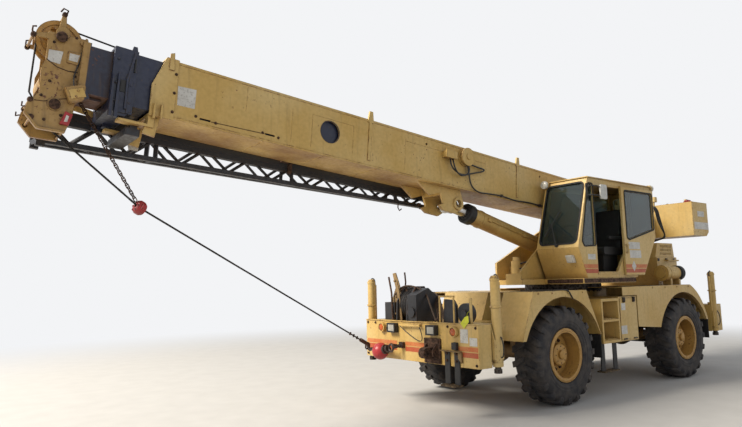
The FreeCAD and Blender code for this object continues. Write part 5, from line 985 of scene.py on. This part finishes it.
def turret_fittings():
    # Heads of the pins that carry the boom and the lift cylinder, each with its keeper plate
    keepers = []
    for x, z, size in ((*LUFF_PIVOT.xz, 0.07), (*LIFT_PIN, 0.06)):
        keepers += [turned([(size, 0.415), (size, 0.428), (size * 0.8, 0.434)], (x, 0, z), "Y", 32),
                    block(x - 0.02, x + 0.13, 0.411, 0.42, z - 0.025, z + 0.025),
                    bolts([(x + 0.1, 0.42, z)], "Y", 1, 0.016)]
    make("pin_keepers", both_sides(joined(*keepers)), STEEL, TURRET, cut=0.002)
    make("slew_ring_bolts", bolts([(x, y, 1.5) for x, y in circle(32, 0.59)], "Z", -1, 0.016), STEEL, CARRIER)
    wear = joined(block(-0.25, 1.15, 1.1803, 1.1843, 1.63, 1.69), block(1.1503, 1.1543, 0.55, 1.16, 1.63, 1.69))
    make("cab_sill_strip", wear, RUSTY, TURRET, cut=0.001)
    latches = [block(x, x + 0.05, -1.062, -1.04, 1.94, 1.98) for x in (-0.75, -0.2)]
    make("cover_latches", joined(*latches), STEEL, TURRET, cut=0.002)
    # Bracket with a lamp, between the cab and the weight
    bent = [(-1.5, 0.386, 2.72), (-1.5, 0.8, 2.78), (-1.5, 0.9, 2.84), (-1.5, 0.92, 3.02)]
    arm = joined(rod(bent, 0.018, 10), block(-1.55, -1.45, 0.3853, 0.395, 2.66, 2.78),
                 block(-1.54, -1.46, 0.88, 0.96, 3.0, 3.09))
    make("hose_bracket", arm, BODY, TURRET, cut=0.003)
    make("bracket_lamp_lens", lens((-1.54, 0.92, 3.045), 0.036, -1), LENS, TURRET)


def turret_hoses():
    """Bundles over the bracket, down the turret's side, to the cab, and to the cylinder and the swing motor."""
    three = range(3)
    hose("bracket_hoses", [
        [(-1.32, 0.386, 2.62 - 0.04 * n), (-1.36, 0.6, 2.8), (-1.44 - 0.03 * n, 0.84, 2.98),
         (-1.46 - 0.04 * n, 0.95, 2.9), (-1.47 - 0.05 * n, 0.97, 2.7),
         (-1.62 - 0.04 * n, 0.95, 2.56 - 0.02 * n), (-1.86, 0.9, 2.43 - 0.02 * n), (-2.02, 0.74, 2.38),
         (-2.08, 0.5, 2.37 - 0.02 * n), (-2.09, 0.386, 2.37 - 0.03 * n)] for n in three], 0.022, TURRET)
    hose("turret_hoses", [
        [(-1.35, 0.39, 2.78 - 0.05 * n), (-1.45, 0.43 + 0.035 * n, 2.8 - 0.05 * n),
         (-1.75, 0.45 + 0.035 * n, 2.72 - 0.05 * n), (-2.02, 0.45 + 0.035 * n, 2.5 - 0.04 * n),
         (-2.1, 0.44, 2.36 - 0.02 * n), (-2.1, 0.4, 2.32)] for n in three], 0.03, TURRET)
    hose("cab_supply_hoses", [
        [(-0.9, 0.62 + 0.05 * n, 2.28), (-1.0, 0.62 + 0.05 * n, 2.2 + 0.03 * n), (-1.12, 0.6 + 0.05 * n, 2.28),
         (-1.3, 0.5, 2.3 + 0.03 * n), (-1.42, 0.42, 2.32), (-1.45, 0.39, 2.34)] for n in three], 0.022, TURRET)
    hose("lift_cylinder_hoses", [
        [(-0.2, side * 0.33, 2.0), (-0.1, side * 0.25, 1.95), (0.1, side * 0.2, 1.98), (0.3, side * 0.17, 2.1)]
        for side in (-1, 1)], 0.022, TURRET)
    hose("swing_motor_hoses", [
        [(1.16, 0.065, 1.95), (1.17, 0.17, 1.98), (1.05, 0.23, 1.96), (0.85, 0.27, 1.86), (0.6, 0.28, 1.77),
         (0.4, 0.28, 1.716)],
        [(1.18, 0.06, 1.87), (1.19, 0.2, 1.9), (1.02, 0.28, 1.87), (0.8, 0.31, 1.79), (0.6, 0.31, 1.74),
         (0.4, 0.31, 1.716)]], 0.024, TURRET)


weight_fittings()
turret_fittings()
turret_hoses()


def lift_gland():
    """The cylinder's bolted gland, dark with oil."""
    foot, head = MACHINE @ Vector((LIFT_PIN[0], 0, LIFT_PIN[1])), BOOM @ Vector((3.79, 0, -0.362))
    space = Matrix.Translation(foot) @ (head - foot).to_track_quat("X", "Z").to_matrix().to_4x4()
    line = [(0.1445, 2.27), (0.152, 2.275), (0.152, 2.38), (0.135, 2.392), (0.08, 2.394)]
    ring = turned(line, ORIGIN, "X", 48)
    heads = bolts([(2.393, y, z) for y, z in circle(12, 0.112)], "X", 1, 0.014)
    make("lift_gland", joined(ring, heads), TRIM, "lift_barrel", space=space, cut=0.002)


lift_gland()


# Boom, in its own frame: its skin's plane, just off it, and the head's
BOOM_SKIN = 0.31
BOOM_SIDE = 0.3103
HEAD_SIDE = 0.1903


def boom_fittings():
    blank = [(7.966, 0.19), (7.771, 0.202), (7.77, -0.006), (7.954, -0.011)]
    make("boom_blank_plate", plate(blank, BOOM_SIDE, BOOM_SIDE + 0.002), PLATE, BASE)
    beads = [rod([(-0.3, way * BOOM_SKIN, v), (7.97, way * BOOM_SKIN, v)], 0.005, 8)
             for way in (1, -1) for v in (0.417, -0.145)]
    beads += [rod([(u, -0.305, -0.166), (u, 0.305, -0.166)], 0.006, 8) for u in (2.2, 5.35, 6.15, 6.95)]
    make("boom_weld_beads", joined(*beads), BODY, BASE)
    # The edges of the stiffening plates under the skin's paint: each a line from point to point
    lines = [((u, low), (u, high)) for u, low, high in (
        (7.2, 0.12, 0.4), (6.62, -0.1, 0.3), (6.35, -0.1, 0.3), (5.75, -0.1, 0.3), (4.9, -0.1, 0.34),
        (3.35, -0.1, 0.34), (1.9, -0.1, 0.36))]
    lines += [((start, 0.3), (end, 0.3)) for start, end in ((5.75, 6.35), (3.35, 4.9))]
    seams = [rod([(u, way * BOOM_SKIN, v) for u, v in line], 0.0025, 6) for way in (1, -1) for line in lines]
    make("boom_stiffener_seams", joined(*seams), BODY, BASE)
    wire = [(7.58, BOOM_SIDE + 0.001, -0.1), (7.2, BOOM_SIDE + 0.001, -0.09), (6.95, BOOM_SIDE + 0.001, -0.084)]
    make("boom_slot_wire", rod(wire, 0.004, 6), RUSTY, BASE)
    spots = [(u, BOOM_SKIN, v) for u, v in ((7.75, -0.08), (7.53, -0.1), (6.98, -0.075), (6.78, -0.09))]
    spots += [(8.0, 0.324, v) for v in (0.3, -0.1, 0.1)]
    make("boom_side_bolts", both_sides(bolts(spots, "Y", 1, 0.016)), RUSTY, BASE)
    band = [(0.131, 0), (0.139, 0.003), (0.139, 0.006), (0.131, 0.006)]
    rim = turned(band, (6.095, 0.309, 0.141), "Y", 48, ring=True)
    make("boom_hole_rim", both_sides(rim), DARK, BASE)
    # Length cable's hoses: slack loops under the junction box, then along the lower edge to the foot
    loops = [[(4.12, 0.36, 0.22), (4.15, 0.4, 0.1), (4.0, 0.38, 0.03), (3.85, 0.36, 0.02), (3.62, 0.35, 0.1),
              (3.42, 0.345, 0.16), (3.4, 0.34, 0.2), (3.6, 0.34, 0.2), (3.8, 0.34, 0.23)],
             [(4.07, 0.36, 0.22), (4.08, 0.41, 0.07), (3.95, 0.39, -0.01), (3.8, 0.36, 0.03), (3.7, 0.35, 0.12),
              (3.75, 0.345, 0.2)],
             [(3.76, 0.35, 0.2), (3.74, 0.36, 0.05), (3.68, 0.345, -0.1), (3.52, 0.335, -0.17),
              (3.3, 0.335, -0.15), (3.0, 0.335, -0.13), (2.69, 0.335, -0.16), (2.4, 0.335, -0.13),
              (2.1, 0.335, -0.14), (1.6, 0.335, -0.12), (1.2, 0.335, -0.14), (0.7, 0.33, -0.1),
              (0.35, 0.325, -0.05)]]
    hose("length_cable_hoses", loops, 0.022, BASE)
    clips = [block(u - 0.015, u + 0.015, BOOM_SKIN, 0.349, v - 0.02, v + 0.02)
             for u, v in ((3.0, -0.132), (2.1, -0.136), (1.2, -0.132), (0.36, -0.05))]
    make("hose_clips", joined(*clips), STEEL, BASE, cut=0.003)


boom_fittings()


# The hoist rope along the top: nested lengths, one on each section, keep it whole as the sections slide out
ROPE_V = 0.47
DRUM_TOP = (-0.9, 0.0, 0.202)
BOOM_TAIL = (-0.31, 0)
TOP_SHEAVE, TOP_WRAP = (9.056, 0.392), 0.187
LOW_SHEAVE, LOW_WRAP = (9.035, -0.262), 0.157


def hoist_rope():
    for name, body, start, end, radius in (("base_rope", BASE, -0.3, 7.9, 0.0095),
                                           ("mid_rope", MID, 0.1, 8.3, 0.0092)):
        make(name, rod([(start, 0, ROPE_V), (end, 0, ROPE_V)], radius, 10), ROPE, body)
    head = [(0.4, 0, ROPE_V), (7.9, 0, ROPE_V), (8.3, 0, 0.511), (8.9, 0, 0.56)]
    head += [(TOP_SHEAVE[0] + TOP_WRAP * sin(t * pi / 12), 0.06, TOP_SHEAVE[1] + TOP_WRAP * cos(t * pi / 12))
             for t in range(-1, 6)]
    head += [(9.243, 0.06, 0.33), (9.239, 0.045, 0.1), (9.235, 0.04, -0.15)]
    head += [(LOW_SHEAVE[0] + LOW_WRAP * cos(t * pi / 12), 0.04, LOW_SHEAVE[1] + LOW_WRAP * sin(t * pi / 12))
             for t in range(1, -5, -1)]
    make("head_rope", rod(head, 0.009, 10), ROPE, FLY)
    waist = [(0.05, -0.09), (0.035, -0.07), (0.035, 0.07), (0.05, 0.09)]
    guards = [block(-0.32, -0.24, y, y + 0.012, 0.474, 0.52) for y in (-0.115, 0.103)]
    roller = joined(turned(waist, (-0.28, 0, 0.455), "Y", 24), *guards)
    make("tail_roller", roller, STEEL, BASE, cut=0.002)
    guide = joined(*[block(7.86, 7.9, y, y + 0.015, 0.4583, 0.52) for y in (-0.06, 0.045)],
                   rod([(7.88, -0.06, 0.505), (7.88, 0.06, 0.505)], 0.01, 10))
    make("collar_rope_guide", guide, BODY, BASE, cut=0.002)
    lead = rod([DRUM_TOP, (-0.6, 0, 0.32), (*BOOM_TAIL, ROPE_V + 0.004)], 0.0095, 10)
    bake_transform(make("drum_rope", lead, ROPE, None, space=BOOM))


hoist_rope()


def mid_fittings():
    heads = [(u, BOOM_SIDE, v) for u in (8.42, 8.56) for v in (-0.12, 0.06, 0.3)]
    make("mid_collar_bolts", both_sides(bolts(heads, "Y", 1, 0.016)), DARK, MID)
    pads = [block(8.395, 8.41, 0.311, 0.33, 0.2, 0.34), block(8.45, 8.52, 0.3105, 0.317, -0.02, 0.1)]
    make("mid_wear_pads", both_sides(joined(*pads)), TRIM, MID, cut=0.003)


def head_fittings():
    labels = [
        plate([(9.145, 0.246), (9.025, 0.261), (9.037, 0.133), (9.143, 0.138)], HEAD_SIDE, HEAD_SIDE + 0.002),
        plate([(8.97, 0.26), (8.885, 0.263), (8.897, 0.19), (8.972, 0.19)], 0.2023, 0.2038),
        plate([(8.928, -0.345), (8.905, -0.352), (8.914, -0.41), (8.942, -0.412)], 0.2303, 0.2318)]
    make("head_blank_plates", joined(*labels), PLATE, FLY)
    cover = plate([(8.94, -0.31), (8.873, -0.328), (8.897, -0.438), (8.974, -0.438)], 0.19, 0.2302)
    make("red_block_cover", cover, SIGNAL, FLY, cut=0.003)
    seams = [rod([(8.87, 0.19, 0.1), (8.96, 0.19, 0.085), (9.06, 0.19, 0.1), (9.15, 0.19, 0.15)], 0.005, 8),
             rod([(8.885, 0.19, -0.16), (9.0, 0.19, -0.2), (9.12, 0.19, -0.25), (9.2, 0.19, -0.26)], 0.004, 8)]
    make("head_weld_seams", both_sides(joined(*seams)), RUSTY, FLY)
    spots = [(u, HEAD_SIDE, v) for u, v in ((8.93, 0.43), (9.11, 0.33), (8.9, 0.05), (9.1, -0.05), (9.15, -0.2),
                                            (9.1, -0.42), (8.97, -0.35))]
    make("head_bolts", both_sides(bolts(spots, "Y", 1, 0.014)), RUSTY, FLY)
    pin_ends = [(9.285, 0.352), (9.056, 0.624), (9.232, -0.262), (9.205, -0.42)]
    ends = [turned([(0.024, 0.165), (0.024, 0.2), (0.015, 0.206)], (u, 0, v), "Y", 20) for u, v in pin_ends]
    ends += [turned([(0.05, 0.205), (0.05, 0.222), (0.03, 0.23)], (u, 0, v), "Y", 32)
             for u, v in (TOP_SHEAVE, LOW_SHEAVE)]
    make("head_pin_ends", both_sides(joined(*ends)), RUSTY, FLY, cut=0.002)
    clips = [rod([(9.28, 0.17, 0.36), (9.3, 0.2, 0.38), (9.3, 0.2, 0.42), (9.27, 0.2, 0.43)], 0.008, 8),
             rod([(9.04, 0.17, 0.63), (9.03, 0.17, 0.68), (9.07, 0.17, 0.69), (9.09, 0.17, 0.65)], 0.008, 8),
             rod([(9.26, 0.17, -0.33), (9.29, 0.19, -0.34), (9.29, 0.2, -0.3)], 0.007, 8)]
    make("head_clips", both_sides(joined(*clips)), RUSTY, FLY)
    cable = [(8.9, 0.27, -0.1), (8.92, 0.25, 0.0), (8.9, 0.2, 0.1), (8.87, 0.2, 0.25), (8.86, 0.2, 0.4)]
    hose("head_cable", [cable], 0.012, FLY)
    lid = plate([(8.95, -0.12), (8.83, -0.065), (8.795, -0.15), (8.915, -0.2)], 0.2853, 0.292)
    screws = bolts([(8.87, 0.292, -0.11), (8.88, 0.292, -0.17)], "Y", 1, 0.01)
    make("switch_box_lid", joined(lid, screws), BODY, FLY, cut=0.002)


mid_fittings()
head_fittings()


def jib_fittings():
    """The stowed jib's side band and worn plate, and the brackets and scraps that hang round it."""
    band = [(8.9, -0.215), (3.4, -0.2), (3.4, -0.13), (8.9, -0.14)]
    make("jib_side_band", plate(band, -0.384, -0.3795), BLACK, BASE)
    worn = plate([(8.223, -0.327), (8.1, -0.327), (8.099, -0.4), (8.2, -0.4)], -0.372, -0.366)
    make("jib_worn_plate", worn, PLATE, BASE, cut=0.001)
    brackets = [block(6.2, 6.38, -0.46, -0.33, -0.17, -0.1601), block(6.22, 6.26, -0.385, -0.33, -0.3, -0.16)]
    make("jib_rusty_bracket", joined(*brackets), RUSTY, BASE, cut=0.003)
    yellow = plate([(8.8, -0.05), (8.5, -0.105), (8.5, -0.165), (8.8, -0.12)], -0.345, -0.325)
    make("jib_yellow_bracket", yellow, BODY, BASE, cut=0.003)
    bits = [block(u, u + 0.05, -0.45, -0.35, v, v + 0.04)
            for u, v in ((4.0, -0.36), (3.9, -0.39), (3.78, -0.42), (3.66, -0.44))]
    hook = rod([(4.4, -0.4, -0.36), (4.4, -0.4, -0.44), (4.37, -0.4, -0.48), (4.33, -0.4, -0.45)], 0.009, 8)
    make("jib_tail_bits", joined(*bits, hook), RUSTY, BASE, cut=0.004)


jib_fittings()


# The single line: a taut rope from the head, with the red weight on it, to the hook of the ball tied to the
# front box. Its strands are placed and sized by the rope's radius
STRANDS, LAY, RINGS_PER_LAY = 6, 0.13, 8
STRAND_AT, STRAND_RADIUS = 0.6, 0.44
LINE_RADIUS = 0.0105
LINE_TOP = BOOM @ Vector((9.114, 0.04, -0.398))
LINE_LOW = Vector((3.512, -0.86, 0.815))
WEIGHT = Vector((7.027, 0.0, 2.501))
HOOK_END = Vector((3.5, -0.885, 0.79))
CHAIN_TOP = BOOM @ Vector((8.79, 0, -0.13))


def ways_along(start, end):
    """The direction from start to end, and two square to it and to each other."""
    along = (end - start).normalized()
    across = along.orthogonal().normalized()
    return along, across, along.cross(across)


def stranded(start, end, radius):
    """A wire rope: six round strands laid up in a helix."""
    along, across, other = ways_along(start, end)
    length = (end - start).length
    rings = int(length / LAY * RINGS_PER_LAY)
    strands = []
    for strand in range(STRANDS):
        line = []
        for step in range(rings + 1):
            angle = 2 * pi * (step / RINGS_PER_LAY + strand / STRANDS)
            centre = start + along * (length * step / rings)
            line.append(centre + (across * cos(angle) + other * sin(angle)) * radius * STRAND_AT)
        strands.append(rod(line, radius * STRAND_RADIUS, 5))
    return joined(*strands)


def chain(start, end, link, wire):
    """Welded links, each turned a quarter from the last."""
    along, across, other = ways_along(start, end)
    count = int((end - start).length / (link - 2 * wire))
    bend = link * 0.28
    straight = link / 2 - bend
    links = []
    for number in range(count):
        middle = start + (end - start) * ((number + 0.5) / count)
        wide = across if number % 2 else other
        loop = []
        for turn in range(12):
            angle = 2 * pi * (turn + 0.5) / 12
            reach = (straight if cos(angle) > 0 else -straight) + cos(angle) * bend
            loop.append(middle + along * reach + wide * sin(angle) * bend)
        links.append(rod(loop, wire / 2, 6, closed=True))
    return joined(*links)


def single_line():
    """The rope leaves the lower sheave, dips under the red weight, and is held taut by the ball's hook."""
    weight_at, low_at = MACHINE @ WEIGHT, MACHINE @ LINE_LOW
    line = joined(stranded(LINE_TOP, weight_at, LINE_RADIUS), stranded(weight_at, low_at, LINE_RADIUS))
    make("ball_rope", line, ROPE, FLY, space=Matrix())
    way = (WEIGHT - LINE_LOW).normalized()
    across = way.cross(Vector((0, 1, 0))).normalized()
    socket = rod([LINE_LOW + way * reach for reach in (-0.01, 0.03, 0.13, 0.2)], 0.027, 16)
    middle = HOOK_END + way * 0.015
    eye = rod([middle + way * a + across * b for a, b in circle(12, 0.046)], 0.011, 8, closed=True)
    clips = [rod([LINE_LOW + way * d + across * 0.022, LINE_LOW + way * d - across * 0.022], 0.012, 8)
             for d in (0.28, 0.36, 0.44)]
    make("rope_socket", joined(socket, eye, *clips), RUSTY, FLY, space=MACHINE, cut=0.003)
    barrel = [(0.02, -0.05), (0.06, -0.045), (0.075, -0.02), (0.075, 0.02), (0.06, 0.045), (0.02, 0.05)]
    body = joined(turned(barrel, ORIGIN, "Z", 24, ring=True),
                  bolts([(x, y, 0.045) for x, y in circle(6, 0.05)], "Z", 1, 0.012),
                  block(0.055, 0.095, -0.02, 0.02, -0.02, 0.02))
    hung = MACHINE @ Matrix.Translation(WEIGHT) @ way.to_track_quat("Z", "Y").to_matrix().to_4x4()
    make("switch_weight", body, SIGNAL, FLY, space=hung, cut=0.004)
    links = chain(CHAIN_TOP, weight_at + Vector((0.04, 0, 0.07)), 0.058, 0.011)
    make("switch_chain", links, RUSTY, FLY, space=Matrix())
    eye = joined(block(8.775, 8.805, -0.008, 0.008, -0.14, -0.0963),
                 block(8.75, 8.83, -0.03, 0.03, -0.104, -0.0963))
    make("chain_eye", eye, RUSTY, FLY, cut=0.002)


single_line()


# Floor and backdrop: pale to the camera, the object's shadow kept near it
FLOOR_SIZE = 200
FADE_CENTRE = MACHINE @ Vector((1.5, 0, 0))
PALE = "#F3F4F6"
FADE_FROM, FADE_TO = 8.0, 17.0
# Daylight from all round, and the point that both lamps aim at
SKY_LIGHT = 0.4
AIM = Vector((0, 0, 1.5))


def seen(material):
    """1 for rays from the camera and for those that a mirror or a pane sends on."""
    path = add(material, "ShaderNodeLightPath")
    rays = maths(material, "MAXIMUM", path.outputs["Is Camera Ray"], path.outputs["Is Glossy Ray"])
    return maths(material, "MAXIMUM", rays, path.outputs["Is Transmission Ray"])


def studio_floor():
    bpy.ops.mesh.primitive_plane_add(size=FLOOR_SIZE, location=(0, 0, 0))
    floor = bpy.context.object
    floor.name = "studio_floor"
    paint, shader = new_material("matt_studio_floor", 0.95)
    grain = patches(paint, 0.35, 0.3, 0.7)
    colour = blend(paint, grain, linear("#CDCBC7"), linear("#D3D1CD"))
    link = paint.node_tree.links.new
    link(colour, shader.inputs["Base Color"])
    glow = add(paint, "ShaderNodeEmission", {"Color": linear(PALE), "Strength": 1.0})
    reach = add(paint, "ShaderNodeVectorMath", {0: spot(paint), 1: FADE_CENTRE},
                operation="DISTANCE").outputs["Value"]
    far = add(paint, "ShaderNodeMapRange", {"Value": reach, "From Min": FADE_FROM, "From Max": FADE_TO},
              interpolation_type="SMOOTHSTEP").outputs["Result"]
    pale = maths(paint, "MULTIPLY", far, seen(paint))
    mix = add(paint, "ShaderNodeMixShader", {0: pale, 1: shader.outputs["BSDF"], 2: glow.outputs["Emission"]})
    link(mix.outputs["Shader"], paint.node_tree.nodes["Material Output"].inputs["Surface"])
    floor.data.materials.append(paint)


def studio_world():
    world = bpy.data.worlds.new("studio")
    bpy.context.scene.world = world
    world.use_nodes = True
    light = world.node_tree.nodes["Background"]
    light.inputs["Color"].default_value = linear("#EEF2F8")
    light.inputs["Strength"].default_value = SKY_LIGHT
    backdrop = add(world, "ShaderNodeBackground", {"Color": linear(PALE), "Strength": 1.0})
    mix = add(world, "ShaderNodeMixShader", {0: seen(world), 1: light.outputs["Background"],
                                             2: backdrop.outputs["Background"]})
    world.node_tree.links.new(mix.outputs["Shader"], world.node_tree.nodes["World Output"].inputs["Surface"])


def lamp(name, size, power, place, tint):
    light = bpy.data.lights.new(name, "AREA")
    light.shape = "SQUARE"
    light.size = size
    light.energy = power
    light.color = linear(tint)[:3]
    holder = bpy.data.objects.new(name, light)
    bpy.context.collection.objects.link(holder)
    holder.location = place
    holder.rotation_euler = (AIM - Vector(place)).to_track_quat("-Z", "Y").to_euler()


studio_floor()
studio_world()
lamp("key", 10, 12500, (22, -8, 20), "#FFF7EA")
lamp("fill", 12, 115, (3, 16, 8), "#F2F6FF")

bpy.context.scene.view_settings.view_transform = "Standard"
